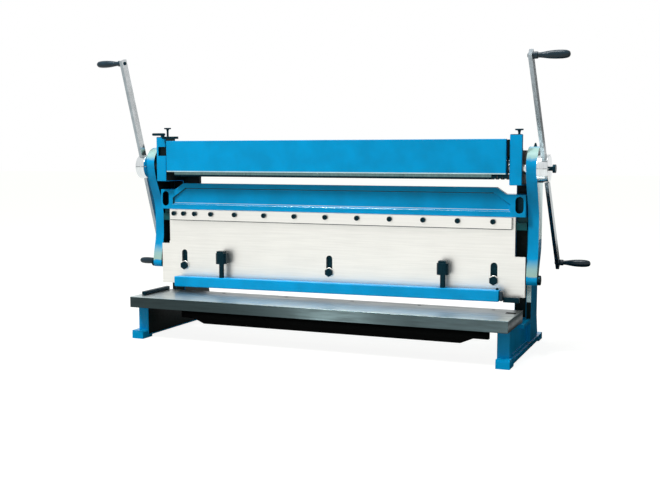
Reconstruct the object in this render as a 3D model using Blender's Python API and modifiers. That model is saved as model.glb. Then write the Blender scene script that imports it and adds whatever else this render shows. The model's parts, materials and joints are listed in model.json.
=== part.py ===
# Combination sheet metal machine: shear, press brake and slip roll in one stand.
# Metres, +Z up. X runs along the table, Y from the front to the rear.
# Every piece is one object, and each moving group hangs from an empty on its joint axis.

from math import atan2, cos, pi, radians, sin, sqrt, tan

import bmesh
import bpy
from mathutils import Matrix, Vector

MM = 0.001

# Fits
FACE_GAP = 0.3 * MM
RUNNING_GAP = 0.5 * MM
CUT_OVERRUN = 3 * MM
SEAM = 0.5 * MM
MERGE = 0.01 * MM

# Side frames
CLEAR_WIDTH = 1324.6 * MM
FRAME_THICK = 42 * MM
LEG_HEIGHT = 120 * MM
LEG_SETBACK = 50 * MM
COLUMN_DEPTH_TOP = 122 * MM
COLUMN_DEPTH_LOW = 187 * MM
COLUMN_DEPTH_BASE = 222 * MM
BASE_HEIGHT = 24 * MM
BASE_SETBACK = 16 * MM
BASE_REAR_REACH = 58 * MM
BASE_OUTSTAND = 7.5 * MM
BASE_INSET = 3 * MM
FRONT_PAD_LENGTH = 62 * MM
FRONT_PAD_HEIGHT = 31 * MM
FLANGE_HEIGHT = 39 * MM
FLANGE_OUTSTAND = 3.5 * MM
FLANGE_FRONT_INSET = 66 * MM
FLANGE_REAR_INSET = 84 * MM
LIP_OUTSTAND = 15.2 * MM
LIP_DEPTH = 116 * MM
LEDGE_THICK = 13 * MM
LEDGE_HEIGHT = 118.5 * MM
LEDGE_FRONT_INSET = 42 * MM
FOOT_HOLE_RADIUS = 7 * MM
FOOT_HOLE_INSET = 26 * MM
HEAD_RISE = 15.4 * MM
HEAD_FRONT = 12.6 * MM
HEAD_TOP_DEPTH = 168 * MM
HEAD_PLATE = 10 * MM
POCKET_WALL = 4 * MM
SHOULDER_WALL = 7 * MM
HEAD_CLEARANCE = 3 * MM
HEAD_BEVEL = 2 * MM

# Table with its rib, and the lower blade
TABLE_DEPTH = 236 * MM
TABLE_THICK = 39.7 * MM
TABLE_OVERHANG = 3.7 * MM
TABLE_BEVEL = 1 * MM
LOWER_BLADE_WIDTH = 16 * MM
LOWER_BLADE_HEIGHT = 26 * MM
RIB_DROP = 80 * MM
RIB_REAR_INSET = 26 * MM
RIB_THICK = 20 * MM
RIB_CHAMFER_HEIGHT = 19 * MM
RIB_INSET_LOW = 158.3 * MM
RIB_INSET_MIDDLE = 113.3 * MM
RIB_INSET_HIGH = 60.3 * MM
GAUGE_WIDTH = 17 * MM
GAUGE_HEIGHT = 14 * MM
GAUGE_INSET = 18 * MM
GAUGE_FRONT = 50 * MM
GAUGE_LENGTH = 174 * MM

# Stroke: the eccentrics stand a little above level at rest
THROW = 37.5 * MM
REST_ANGLE = radians(13)
STROKE_UP = THROW * (1 - sin(REST_ANGLE))

# Blade plate
SHEAR_CLEARANCE = 1 * MM
SHEAR_OPENING = 25 * MM
BLADE_RAKE = 18 * MM
PLATE_THICK = 12 * MM
PLATE_OVERLAP = 14.7 * MM
ARM_OUTSTAND = 8.7 * MM
ARM_TOP_RISE = 181 * MM
SLOT_WIDTH = 24 * MM
SLOT_LENGTH = 74 * MM
SLOT_RISE = 85 * MM
SLOT_PLACE_SHARE = 0.9
SLOT_SHIFT = -3 * MM
PLATE_BOLT_HEAD = 16 * MM
PLATE_BOLT_HEAD_HEIGHT = 10 * MM
PLATE_BOLT_SHANK = 9 * MM
PLATE_BOLT_REACH = 30 * MM

# Ram beam, its clamp strip and guide blocks
RAM_RISE = 316 * MM
RAM_HEIGHT = 100 * MM
RAM_SHOULDER_DROP = 24 * MM
RAM_END_STEP = 1 * MM
RAM_CREST_INSET = 100 * MM
RAM_CHAMFER = 36 * MM
RAM_FRONT_STEP = 6 * MM
RAM_DEPTH = 86.5 * MM
RAM_CREST_DEPTH = 24 * MM
PANEL_RECESS = 8 * MM
PANEL_MARGIN_SIDE = 54 * MM
PANEL_MARGIN_TOP = 19 * MM
PANEL_MARGIN_LOW = 19.5 * MM
PANEL_CORNER = 56 * MM
PANEL_CORNER_DROP = 38 * MM
RAM_SLOT_WIDTH = 28 * MM
RAM_SLOT_LENGTH = 57 * MM
RAM_SLOT_DEPTH = 30 * MM
RAM_SLOT_INSET = 21.5 * MM
RAM_SLOT_RISE = 40.5 * MM
WEB_THICK = 20 * MM
WEB_DROP = 241 * MM
WEB_INSET = 17.3 * MM
GROOVE_WIDTH = 10 * MM
GROOVE_SETBACK = 15.5 * MM
STRIP_HEIGHT = 41.5 * MM
STRIP_THICK = 15 * MM
STRIP_INSET = 10 * MM
STRIP_DROP = 1.5 * MM
STRIP_BOLT_RADIUS = 9 * MM
STRIP_BOLT_HEIGHT = 8 * MM
STRIP_BOLT_DROP = 15 * MM
STRIP_BOLT_SHARES = (-0.971, -0.907, -0.834, -0.728, -0.575, -0.39, -0.204, -0.019, 0.166, 0.351, 0.536,
                     0.721, 0.906)
GUIDE_BLOCK_WIDTH = 37 * MM
GUIDE_BLOCK_HEIGHT = 26 * MM
GUIDE_BLOCK_DROP = 19 * MM
GUIDE_NECK_SETBACK = 13 * MM

# Hold-down bar
HOLD_END_GAP = 28.3 * MM
HOLD_HEIGHT = 38.9 * MM
HOLD_DEPTH = 36 * MM
HOLD_OPENING = 24.5 * MM
HOLD_RAKE = 12 * MM
HOLD_BEVEL = 2 * MM
END_CAP_LENGTH = 13 * MM
END_CAP_STEP = 2 * MM
POST_PLACE_SHARE = 0.685
POST_RADIUS = 9.5 * MM
NUT_WIDTH = 28 * MM
NUT_HEIGHT = 8.6 * MM
HOUSING_RADIUS = 21.5 * MM
HOUSING_HEIGHT = 40 * MM
HOUSING_RISE = 113 * MM
HOUSING_PAD_WIDTH = 30 * MM

# Brake fingers and the beam above them
FINGER_GAP = 0.36 * MM
FINGER_NOSE = 14.3 * MM
FINGER_DEPTH = 62 * MM
FINGER_TONGUE = 7 * MM
FINGER_HEIGHT = 55 * MM
FINGER_RIDGE = 4 * MM
FINGER_RIDGE_WIDTH = 6 * MM
FINGER_SPLIT = 0.6 * MM
FINGER_LEFT_GAP = 34.3 * MM
FINGER_RIGHT_GAP = 5.3 * MM
SMALL_FINGER_WIDTH = 18.5 * MM
SMALL_FINGER_COUNT = 3
LONG_FINGER_COUNT = 4
BEAM_HEIGHT = 118 * MM
BEAM_THICK = 16 * MM
BEAM_END_GAP = 9.3 * MM
BEAM_SETFORWARD = 57 * MM
BEAM_LIP = 24 * MM
BEAM_LIP_THICK = 8 * MM
BEAM_BEVEL = 2 * MM
LUG_THICK = 9 * MM
LUG_HEIGHT = 56 * MM
LUG_LENGTH = 30 * MM

# Cross rails behind
RAIL_DEPTH = 26 * MM
RAIL_HEIGHT = 40 * MM
UPPER_RAIL_SETBACK = 10 * MM
LOWER_RAIL_SETBACK = 90 * MM
LOWER_RAIL_RISE = 130 * MM

# Eccentric shaft, eccentrics, hubs and crank bars
SHAFT_RADIUS = 17 * MM
SHAFT_CLEARANCE = 3 * MM
SHAFT_LEAD = 15 * MM
ECCENTRIC_RADIUS = 57.2 * MM
STRAP_RADIUS = 65 * MM
LINK_SIDE_GAP = 3.7 * MM
LINK_THICK = 36.3 * MM
HUB_RADIUS = 46.7 * MM
HUB_THICK = 36.7 * MM
BAR_THICK = 12 * MM
BAR_WIDTH = 31 * MM
RIGHT_REACH = 469 * MM
LEFT_REACH = 428 * MM
BAR_SETOUT = 23 * MM
RIGHT_LEAN = radians(40.5)
LEFT_LEAN = radians(19)
END_BOLT_RADIUS = 7 * MM
END_BOLT_STANDOFF = 10 * MM
END_BOLT_HEAD_RADIUS = 14 * MM
END_BOLT_HEAD = 10.4 * MM
GRIP_INSET = 20 * MM
GRIP_LENGTH = 110 * MM
GRIP_RADIUS = 13.3 * MM
GRIP_NECK_RADIUS = 8 * MM
GRIP_COLLAR_RADIUS = 10.5 * MM
GRIP_COLLAR = 14 * MM
STUD_RADIUS = 4.5 * MM
STUD_LENGTH = 92 * MM

# Links from the eccentrics down to the ram
ROD_FRONT = 17.7 * MM
ROD_WIDTH = 55.5 * MM
ROD_NECK_DROP = 190 * MM
ROD_SWEEP_DROP = 262 * MM
LINK_PIN_SETBACK = 14 * MM
LINK_PIN_RISE = 103 * MM
LINK_BOSS_RADIUS = 18 * MM
LINK_PIN_RADIUS = 8 * MM
LINK_PIN_HEAD_RADIUS = 17 * MM
LINK_PIN_HEAD = 9.7 * MM
OIL_CUP_RADIUS = 6 * MM
OIL_CUP_HEIGHT = 12 * MM

# Rolls, their gears and bearing blocks
ROLL_RADIUS = 17 * MM
ROLL_NIP = 0.3 * MM
ROLL_END_GAP = 56.3 * MM
JOURNAL_RADIUS = 11 * MM
JOURNAL_REACH = 23.5 * MM
DRIVE_PITCH_RADIUS = 20.5 * MM
DRIVE_TEETH = 16
DRIVE_ANGLE = radians(62)
PINION_TEETH = 12
GEAR_FACE = 16 * MM
GEAR_INSET = 14 * MM
TOOTH_TOP = 1.9 * MM
TOOTH_TOP_SHARE = 0.11
TOOTH_ROOT_SHARE = 0.34
TOOTH_ROOT = 2.7 * MM
REAR_ROLL_SETBACK = 46 * MM
REAR_ROLL_DROP = 9 * MM
BLOCK_DEPTH = 30 * MM
BLOCK_HEIGHT = 28 * MM
BLOCK_LENGTH = 24 * MM
UPPER_LIFT = 2 * MM
REAR_LIFT = 12 * MM
SCREW_RADIUS = 4.5 * MM
CROSSBAR_LENGTH = 28 * MM
CROSSBAR_RADIUS = 3.3 * MM
LEFT_SCREW_RISE = 36 * MM
RIGHT_SCREW_RISE = 19 * MM
GRUB_RADIUS = 5 * MM
GRUB_RISE = 8 * MM
GRUB_SOCKET_RADIUS = 2.6 * MM
GRUB_SOCKET_DEPTH = 5 * MM

# Release lever and latch plate at the left block
WINDOW_HEIGHT = 34 * MM
WINDOW_DROP = 38 * MM
WINDOW_WIDTH = 33 * MM
WINDOW_DEPTH = 8.5 * MM
LEVER_LENGTH = 53 * MM
LEVER_WIDTH = 18 * MM
LEVER_THICK = 7.5 * MM
LEVER_BOSS_HEIGHT = 7 * MM
LEVER_BOSS_RADIUS = 7 * MM
LEVER_SETBACK = 13 * MM
LEVER_TAIL = 9 * MM
LATCH_LENGTH = 66 * MM
LATCH_DEPTH = 11.5 * MM
LATCH_THICK = 9 * MM
LATCH_FOOT = 7.5 * MM
LATCH_FOOT_LENGTH = 40 * MM
LATCH_OUTSTAND = 9 * MM

# Facets of round work, and steps along a curve
SIDES_LARGE = 48
SIDES_MEDIUM = 24
SIDES_SMALL = 16
SIDES_TINY = 12
CURVE_STEPS = 7

# Places along X
FRAME_INNER = CLEAR_WIDTH / 2
FRAME_OUTER = FRAME_INNER + FRAME_THICK
FRAME_MIDDLE = FRAME_INNER + FRAME_THICK / 2
TABLE_HALF = FRAME_OUTER + TABLE_OVERHANG
PLATE_HALF = FRAME_INNER + PLATE_OVERLAP
ARM_HALF = FRAME_OUTER + ARM_OUTSTAND
RAM_HALF = ARM_HALF - RAM_END_STEP
RAM_CREST_HALF = RAM_HALF - RAM_CREST_INSET
STRIP_HALF = PLATE_HALF - STRIP_INSET
HOLD_HALF = FRAME_INNER - HOLD_END_GAP
BEAM_HALF = FRAME_INNER - BEAM_END_GAP
FINGER_LEFT = FINGER_LEFT_GAP - FRAME_INNER
FINGER_RIGHT = FRAME_INNER - FINGER_RIGHT_GAP
ROLL_HALF = FRAME_INNER - ROLL_END_GAP
LINK_INNER = ARM_HALF + LINK_SIDE_GAP
LINK_OUTER = LINK_INNER + LINK_THICK
HUB_INNER = LINK_OUTER + FACE_GAP
HUB_OUTER = HUB_INNER + HUB_THICK
BAR_MIDDLE = LINK_OUTER + BAR_SETOUT

# Places along Y: the origin lies midway between the foremost bar corner and the rear of the feet
PLATE_SETBACK = TABLE_DEPTH + SHEAR_CLEARANCE
SHAFT_SETBACK = PLATE_SETBACK - SHAFT_LEAD
COLUMN_SETBACK = PLATE_SETBACK - RAM_FRONT_STEP + RAM_DEPTH + RUNNING_GAP
BAR_FOREMOST = SHAFT_SETBACK - RIGHT_REACH * sin(RIGHT_LEAN) - BAR_WIDTH / 2 * cos(RIGHT_LEAN)
FOOT_REAR = COLUMN_SETBACK + COLUMN_DEPTH_BASE + BASE_REAR_REACH
BASE_LENGTH = FOOT_REAR - BASE_SETBACK
TABLE_FRONT = -(BAR_FOREMOST + FOOT_REAR) / 2
TABLE_REAR = TABLE_FRONT + TABLE_DEPTH
PLATE_FRONT = TABLE_FRONT + PLATE_SETBACK
PLATE_REAR = PLATE_FRONT + PLATE_THICK
RAM_FRONT = PLATE_FRONT - RAM_FRONT_STEP
RAM_REAR = RAM_FRONT + RAM_DEPTH
COLUMN_FRONT = TABLE_FRONT + COLUMN_SETBACK
SHAFT_Y = TABLE_FRONT + SHAFT_SETBACK
BEAM_FRONT = PLATE_FRONT - BEAM_SETFORWARD - SHEAR_CLEARANCE
BEAM_REAR = BEAM_FRONT + BEAM_THICK
HEAD_Y = BEAM_FRONT + HEAD_FRONT
HOLD_REAR = PLATE_FRONT - FACE_GAP - PLATE_BOLT_HEAD_HEIGHT - RUNNING_GAP
POST_Y = HOLD_REAR - HOLD_DEPTH / 2

# Places along Z
TABLE_LOW = LEG_HEIGHT + FACE_GAP
TABLE_TOP = TABLE_LOW + TABLE_THICK
PLATE_LOW = TABLE_TOP + SHEAR_OPENING
ARM_TOP = TABLE_TOP + ARM_TOP_RISE
RAM_LOW = TABLE_TOP + RAM_RISE
RAM_TOP = RAM_LOW + RAM_HEIGHT
RAM_SHOULDER = RAM_TOP - RAM_SHOULDER_DROP
PLATE_TOP = RAM_LOW - FACE_GAP
FINGER_LOW = RAM_TOP + STROKE_UP + FINGER_GAP
FINGER_TOP = FINGER_LOW + FINGER_NOSE
BEAM_LOW = FINGER_TOP + FACE_GAP
BEAM_TOP = BEAM_LOW + BEAM_HEIGHT
HEAD_LOW = RAM_SHOULDER + STROKE_UP + HEAD_CLEARANCE
HEAD_TOP = BEAM_TOP + HEAD_RISE
SHAFT_Z = FINGER_TOP + SHAFT_CLEARANCE + SHAFT_RADIUS

# The strap centre, and the rolls' axes
STRAP_Y = SHAFT_Y + THROW * cos(REST_ANGLE)
STRAP_Z = SHAFT_Z + THROW * sin(REST_ANGLE)
LOWER_ROLL_Y = SHAFT_Y + 2 * DRIVE_PITCH_RADIUS * cos(DRIVE_ANGLE)
LOWER_ROLL_Z = SHAFT_Z + 2 * DRIVE_PITCH_RADIUS * sin(DRIVE_ANGLE)
UPPER_ROLL_Z = LOWER_ROLL_Z + 2 * ROLL_RADIUS + ROLL_NIP
REAR_ROLL_Y = LOWER_ROLL_Y + REAR_ROLL_SETBACK
REAR_ROLL_Z = LOWER_ROLL_Z - REAR_ROLL_DROP
REAR_SHOULDER = REAR_ROLL_Z + BLOCK_HEIGHT / 2 + REAR_LIFT + RUNNING_GAP + SHOULDER_WALL
PIN_Y = PLATE_FRONT + LINK_PIN_SETBACK
PIN_Z = TABLE_TOP + LINK_PIN_RISE

SIDES = {"left": -1, "right": 1}
LEANS = {"left": LEFT_LEAN, "right": RIGHT_LEAN}
REACHES = {"left": LEFT_REACH, "right": RIGHT_REACH}


def clear_scene():
    for thing in list(bpy.data.objects):
        bpy.data.objects.remove(thing, do_unlink=True)


def new_collection(name):
    collection = bpy.data.collections.new(name)
    bpy.context.scene.collection.children.link(collection)
    return collection


def finish(name, colour, roughness, metallic):
    material = bpy.data.materials.new(name)
    material.use_nodes = True
    shader = material.node_tree.nodes["Principled BSDF"]
    shader.inputs["Base Color"].default_value = (*colour, 1)
    shader.inputs["Roughness"].default_value = roughness
    shader.inputs["Metallic"].default_value = metallic
    material.diffuse_color = (*colour, 1)
    return material


clear_scene()
MACHINE = new_collection("combination_sheet_metal_machine")
CUTTERS = new_collection("cutters")

BLUE = finish("blue_enamel", (0.0, 0.35, 0.78), 0.35, 0)
BRIGHT = finish("bright_steel", (0.86, 0.84, 0.8), 0.2, 1)
GROUND = finish("ground_steel", (0.55, 0.56, 0.57), 0.3, 1)
POLISHED = finish("polished_steel", (0.8, 0.8, 0.8), 0.15, 1)
BLACKED = finish("blackened_steel", (0.03, 0.03, 0.035), 0.4, 0.6)
PLASTIC = finish("black_plastic", (0.02, 0.02, 0.03), 0.45, 0)

BODIES = {}


# Helpers that make, place, cut and join solids

def add_body(name, pivot, parent=None):
    empty = bpy.data.objects.new(name + "_axis", None)
    empty.location = pivot
    empty.empty_display_size = BAR_WIDTH
    MACHINE.objects.link(empty)
    if parent:
        empty.parent = BODIES[parent]
        empty.location = Vector(pivot) - BODIES[parent].matrix_world.translation
    bpy.context.view_layer.update()
    BODIES[name] = empty


def hang(piece, body):
    if body:
        piece.parent = BODIES[body]
        piece.matrix_parent_inverse = BODIES[body].matrix_world.inverted()


def add_piece(name, mesh, centre, body, material):
    piece = bpy.data.objects.new(name, mesh)
    piece.location = centre
    MACHINE.objects.link(piece)
    mesh.materials.clear()
    mesh.materials.append(material)
    hang(piece, body)
    return piece


def tool(mesh, centre, turn=None):
    cutter = bpy.data.objects.new("cutter_" + mesh.name, mesh)
    cutter.location = centre
    if turn:
        cutter.rotation_euler = turn
    cutter.hide_render = True
    cutter.display_type = "WIRE"
    CUTTERS.objects.link(cutter)
    return cutter


def combine(piece, other, operation):
    step = piece.modifiers.new(operation.lower(), "BOOLEAN")
    step.operation = operation
    step.solver = "EXACT"
    step.object = other


def cut(piece, mesh, centre, turn=None):
    combine(piece, tool(mesh, centre, turn), "DIFFERENCE")


def fuse(piece, mesh, centre, turn=None):
    combine(piece, tool(mesh, centre, turn), "UNION")


def bevel(piece, width, segments=1):
    edge = piece.modifiers.new("bevel", "BEVEL")
    edge.width = width
    edge.segments = segments
    edge.limit_method = "ANGLE"


def mesh_of(bm, name):
    mesh = bpy.data.meshes.new(name)
    bm.to_mesh(mesh)
    bm.free()
    return mesh


def box(width, depth, height):
    bm = bmesh.new()
    size = Matrix.Diagonal((width, depth, height, 1))
    bmesh.ops.create_cube(bm, size=1, matrix=size)
    return mesh_of(bm, "box")


def disc(radius, length, axis="X", sides=SIDES_MEDIUM, top_radius=None):
    turns = {"X": Matrix.Rotation(pi / 2, 4, "Y"), "Y": Matrix.Rotation(-pi / 2, 4, "X"), "Z": Matrix()}
    bm = bmesh.new()
    end = radius if top_radius is None else top_radius
    bmesh.ops.create_cone(
        bm, cap_ends=True, segments=sides, radius1=radius, radius2=end, depth=length, matrix=turns[axis])
    mesh = mesh_of(bm, "disc")
    mesh.shade_smooth()
    mesh.set_sharp_from_angle(angle=radians(40))
    return mesh


def plate(outline, thickness, axis="X"):
    """A flat plate from a closed outline, (Y, Z) points for axis X and (X, Z) points for axis Y."""
    curve = bpy.data.curves.new("outline", "CURVE")
    curve.dimensions = "2D"
    curve.fill_mode = "BOTH"
    curve.extrude = thickness / 2
    spline = curve.splines.new("POLY")
    spline.points.add(len(outline) - 1)
    for point, (first, second) in zip(spline.points, outline):
        point.co = (first, second, 0, 1)
    spline.use_cyclic_u = True
    flat = bpy.data.objects.new("outline", curve)
    CUTTERS.objects.link(flat)
    bpy.context.view_layer.update()
    seen = flat.evaluated_get(bpy.context.evaluated_depsgraph_get())
    mesh = bpy.data.meshes.new_from_object(seen)
    bpy.data.objects.remove(flat, do_unlink=True)
    bm = bmesh.new()
    bm.from_mesh(mesh)
    bmesh.ops.remove_doubles(bm, verts=bm.verts, dist=MERGE)
    caps = [face for face in bm.faces if all(vert.co.z > 0 for vert in face.verts)]
    bmesh.ops.dissolve_faces(bm, faces=caps, use_verts=False)
    caps = [face for face in bm.faces if all(vert.co.z < 0 for vert in face.verts)]
    bmesh.ops.dissolve_faces(bm, faces=caps, use_verts=False)
    stand = {"X": Matrix.Rotation(pi / 2, 4, "Z") @ Matrix.Rotation(pi / 2, 4, "X"),
             "Y": Matrix.Rotation(pi / 2, 4, "X"), "Z": Matrix()}
    bmesh.ops.transform(bm, matrix=stand[axis], verts=bm.verts)
    bmesh.ops.recalc_face_normals(bm, faces=bm.faces)
    bm.to_mesh(mesh)
    bm.free()
    return mesh


def smooth_rise(share):
    return (1 - cos(pi * share)) / 2


def stadium(width, length):
    """Outline of an upright slot with round ends, centred on its middle."""
    radius = width / 2
    straight = length / 2 - radius
    steps = [pi * step / CURVE_STEPS for step in range(CURVE_STEPS + 1)]
    upper = [(radius * cos(a), straight + radius * sin(a)) for a in steps]
    lower = [(-radius * cos(a), -straight - radius * sin(a)) for a in steps]
    return upper + lower


def gear(pitch_radius, teeth, length, turned=0):
    """A spur gear across X. Its teeth are narrower than their gaps, so that a pair runs free."""
    outline = []
    pitch = 2 * pi / teeth
    for tooth in range(teeth):
        middle = turned + tooth * pitch
        for share, reach in ((-TOOTH_ROOT_SHARE, -TOOTH_ROOT), (-TOOTH_TOP_SHARE, TOOTH_TOP),
                             (TOOTH_TOP_SHARE, TOOTH_TOP), (TOOTH_ROOT_SHARE, -TOOTH_ROOT)):
            angle = middle + share * pitch
            outline.append(((pitch_radius + reach) * cos(angle), (pitch_radius + reach) * sin(angle)))
    return plate(outline, length)


def profile_mesh(profile):
    """A profile of (radius, height) points, from the top down its outer side."""
    bm = bmesh.new()
    points = [bm.verts.new((radius, 0, height)) for radius, height in profile]
    for first, second in zip(points, points[1:]):
        bm.edges.new((first, second))
    return mesh_of(bm, "profile")


def spin(piece):
    """Turn a profile round the piece's own Z axis."""
    screw = piece.modifiers.new("turned", "SCREW")
    screw.steps = SIDES_SMALL
    screw.render_steps = SIDES_SMALL
    screw.use_merge_vertices = True
    screw.merge_threshold = MERGE
    screw.use_smooth_shade = False


# Fixed pieces: side frames, table, lower blade, side gauge and cross rails

def side_outline():
    leg_front = TABLE_FRONT + LEG_SETBACK
    low = BASE_HEIGHT / 2
    rear_base = COLUMN_FRONT + COLUMN_DEPTH_BASE
    return [
        (leg_front, low), (rear_base, low), (rear_base, FLANGE_HEIGHT),
        (COLUMN_FRONT + COLUMN_DEPTH_LOW, TABLE_TOP), (COLUMN_FRONT + COLUMN_DEPTH_TOP, HEAD_LOW),
        (HEAD_Y + HEAD_TOP_DEPTH, HEAD_TOP), (HEAD_Y, HEAD_TOP), (HEAD_Y, HEAD_LOW),
        (COLUMN_FRONT, HEAD_LOW), (COLUMN_FRONT, LEG_HEIGHT), (leg_front, LEG_HEIGHT)]


def lip_outline():
    """The cheek covers the column's outer side and turns forward as a ledge, as (Y, Z) points."""
    ledge_front = TABLE_REAR - LEDGE_FRONT_INSET
    lip_rear = COLUMN_FRONT + LIP_DEPTH
    ledge_low = LEDGE_HEIGHT - LEDGE_THICK
    foot = FLANGE_HEIGHT - SEAM
    return [
        (COLUMN_FRONT, HEAD_LOW - SEAM), (COLUMN_FRONT, LEDGE_HEIGHT), (ledge_front, LEDGE_HEIGHT),
        (ledge_front, ledge_low), (COLUMN_FRONT, ledge_low), (COLUMN_FRONT, foot), (lip_rear, foot),
        (lip_rear, HEAD_LOW - SEAM)]


def bearing_pocket(frame, side, axis_y, axis_z, lift):
    height = BLOCK_HEIGHT + lift + 2 * RUNNING_GAP
    length = BLOCK_LENGTH + FACE_GAP + RUNNING_GAP + CUT_OVERRUN
    centre_x = side * (FRAME_INNER - CUT_OVERRUN + length / 2)
    cut(frame, box(length, BLOCK_DEPTH + 2 * RUNNING_GAP, height), (centre_x, axis_y, axis_z + lift / 2))


def relieve_head(frame, side):
    """Above the rear roll only a front plate stays, and a narrow boss round the upper roll's pocket."""
    low = REAR_SHOULDER
    height = HEAD_TOP - low + CUT_OVERRUN
    boss_outer = FRAME_INNER + FACE_GAP + BLOCK_LENGTH + RUNNING_GAP + POCKET_WALL
    boss_rear = LOWER_ROLL_Y + BLOCK_DEPTH / 2 + RUNNING_GAP + POCKET_WALL
    plate_rear = HEAD_Y + HEAD_PLATE
    width = FRAME_OUTER - boss_outer + CUT_OVERRUN
    cut(frame, box(width, boss_rear - plate_rear + CUT_OVERRUN, height),
        (side * (boss_outer + width / 2), (plate_rear + boss_rear + CUT_OVERRUN) / 2, low + height / 2))
    rear = HEAD_Y + HEAD_TOP_DEPTH + CUT_OVERRUN
    cut(frame, box(FRAME_THICK + 2 * CUT_OVERRUN, rear - boss_rear, height),
        (side * FRAME_MIDDLE, (rear + boss_rear) / 2, low + height / 2))


def screw_bore(frame, side, axis_y, axis_z, radius):
    top = HEAD_TOP + CUT_OVERRUN
    cut(frame, disc(radius + RUNNING_GAP, top - axis_z, "Z", SIDES_SMALL),
        (side * FRAME_MIDDLE, axis_y, (top + axis_z) / 2))


def make_side_frame(name):
    side = SIDES[name]
    frame = add_piece(name + "_side_frame", plate(side_outline(), FRAME_THICK),
                      (side * FRAME_MIDDLE, 0, 0), None, BLUE)
    bevel(frame, HEAD_BEVEL)
    base_inner = FRAME_INNER + BASE_INSET
    base_outer = FRAME_OUTER + BASE_OUTSTAND
    base_x = side * (base_inner + base_outer) / 2
    base_width = base_outer - base_inner
    base_front = TABLE_FRONT + BASE_SETBACK
    fuse(frame, box(base_width, BASE_LENGTH, BASE_HEIGHT),
         (base_x, base_front + BASE_LENGTH / 2, BASE_HEIGHT / 2))
    fuse(frame, box(base_width - SEAM, FRONT_PAD_LENGTH, FRONT_PAD_HEIGHT - SEAM),
         (base_x, base_front + SEAM + FRONT_PAD_LENGTH / 2, (FRONT_PAD_HEIGHT + SEAM) / 2))
    flange_front = base_front + FLANGE_FRONT_INSET
    flange_rear = COLUMN_FRONT + COLUMN_DEPTH_BASE - FLANGE_REAR_INSET
    flange_width = FRAME_THICK / 2 + FLANGE_OUTSTAND
    fuse(frame, box(flange_width, flange_rear - flange_front, FLANGE_HEIGHT - SEAM),
         (side * (FRAME_MIDDLE + flange_width / 2), (flange_front + flange_rear) / 2,
          (FLANGE_HEIGHT + SEAM) / 2))
    lip_width = LIP_OUTSTAND + SEAM
    fuse(frame, plate(lip_outline(), lip_width), (side * (FRAME_OUTER - SEAM + lip_width / 2), SEAM, 0))
    for hole_y in (base_front + FOOT_HOLE_INSET, base_front + BASE_LENGTH - FOOT_HOLE_INSET):
        cut(frame, disc(FOOT_HOLE_RADIUS, FLANGE_HEIGHT + 2 * CUT_OVERRUN, "Z", SIDES_SMALL),
            (base_x, hole_y, FLANGE_HEIGHT / 2))
    relieve_head(frame, side)
    shaft_bore = SHAFT_RADIUS + RUNNING_GAP
    cut(frame, disc(shaft_bore, FRAME_THICK + 2 * CUT_OVERRUN), (side * FRAME_MIDDLE, SHAFT_Y, SHAFT_Z))
    journal_length = JOURNAL_REACH + RUNNING_GAP + CUT_OVERRUN
    cut(frame, disc(JOURNAL_RADIUS + RUNNING_GAP, journal_length),
        (side * (FRAME_INNER - CUT_OVERRUN + journal_length / 2), LOWER_ROLL_Y, LOWER_ROLL_Z))
    bearing_pocket(frame, side, LOWER_ROLL_Y, UPPER_ROLL_Z, UPPER_LIFT)
    bearing_pocket(frame, side, REAR_ROLL_Y, REAR_ROLL_Z, REAR_LIFT)
    screw_bore(frame, side, LOWER_ROLL_Y, UPPER_ROLL_Z, SCREW_RADIUS)
    screw_bore(frame, side, REAR_ROLL_Y, REAR_ROLL_Z, GRUB_RADIUS)
    return frame


def make_release_window(frame):
    width = WINDOW_WIDTH + CUT_OVERRUN
    depth = WINDOW_DEPTH + CUT_OVERRUN
    cut(frame, box(width, depth, WINDOW_HEIGHT),
        (-(FRAME_INNER - CUT_OVERRUN + width / 2), HEAD_Y - CUT_OVERRUN + depth / 2,
         HEAD_TOP - WINDOW_DROP - WINDOW_HEIGHT / 2))


def make_table():
    table = add_piece("table", box(2 * TABLE_HALF, TABLE_DEPTH, TABLE_THICK),
                      (0, TABLE_FRONT + TABLE_DEPTH / 2, TABLE_LOW + TABLE_THICK / 2), None, GROUND)
    bevel(table, TABLE_BEVEL)
    rib_low = TABLE_LOW - RIB_DROP
    rib_step = rib_low + RIB_CHAMFER_HEIGHT
    half = [(FRAME_INNER - RIB_INSET_LOW, rib_low), (FRAME_INNER - RIB_INSET_MIDDLE, rib_step),
            (FRAME_INNER - RIB_INSET_HIGH, rib_step), (FRAME_INNER - RIB_INSET_HIGH, TABLE_LOW + SEAM)]
    outline = half + [(-x, z) for x, z in reversed(half)]
    fuse(table, plate(outline, RIB_THICK, "Y"), (0, TABLE_REAR - RIB_REAR_INSET - RIB_THICK / 2, 0))
    cut(table, box(2 * (FRAME_INNER + FACE_GAP), LOWER_BLADE_WIDTH + FACE_GAP + CUT_OVERRUN,
                   LOWER_BLADE_HEIGHT + FACE_GAP + CUT_OVERRUN),
        (0, TABLE_REAR + CUT_OVERRUN - (LOWER_BLADE_WIDTH + FACE_GAP + CUT_OVERRUN) / 2,
         TABLE_TOP + CUT_OVERRUN - (LOWER_BLADE_HEIGHT + FACE_GAP + CUT_OVERRUN) / 2))
    add_piece("lower_blade", box(2 * FRAME_INNER, LOWER_BLADE_WIDTH, LOWER_BLADE_HEIGHT),
              (0, TABLE_REAR - LOWER_BLADE_WIDTH / 2, TABLE_TOP - LOWER_BLADE_HEIGHT / 2), None, GROUND)
    gauge = add_piece("side_gauge", box(GAUGE_WIDTH, GAUGE_LENGTH, GAUGE_HEIGHT),
                      (-(TABLE_HALF - GAUGE_INSET - GAUGE_WIDTH / 2),
                       TABLE_FRONT + GAUGE_FRONT + GAUGE_LENGTH / 2,
                       TABLE_TOP + FACE_GAP + GAUGE_HEIGHT / 2), None, BLACKED)
    bevel(gauge, GAUGE_HEIGHT / 4, 2)


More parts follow.
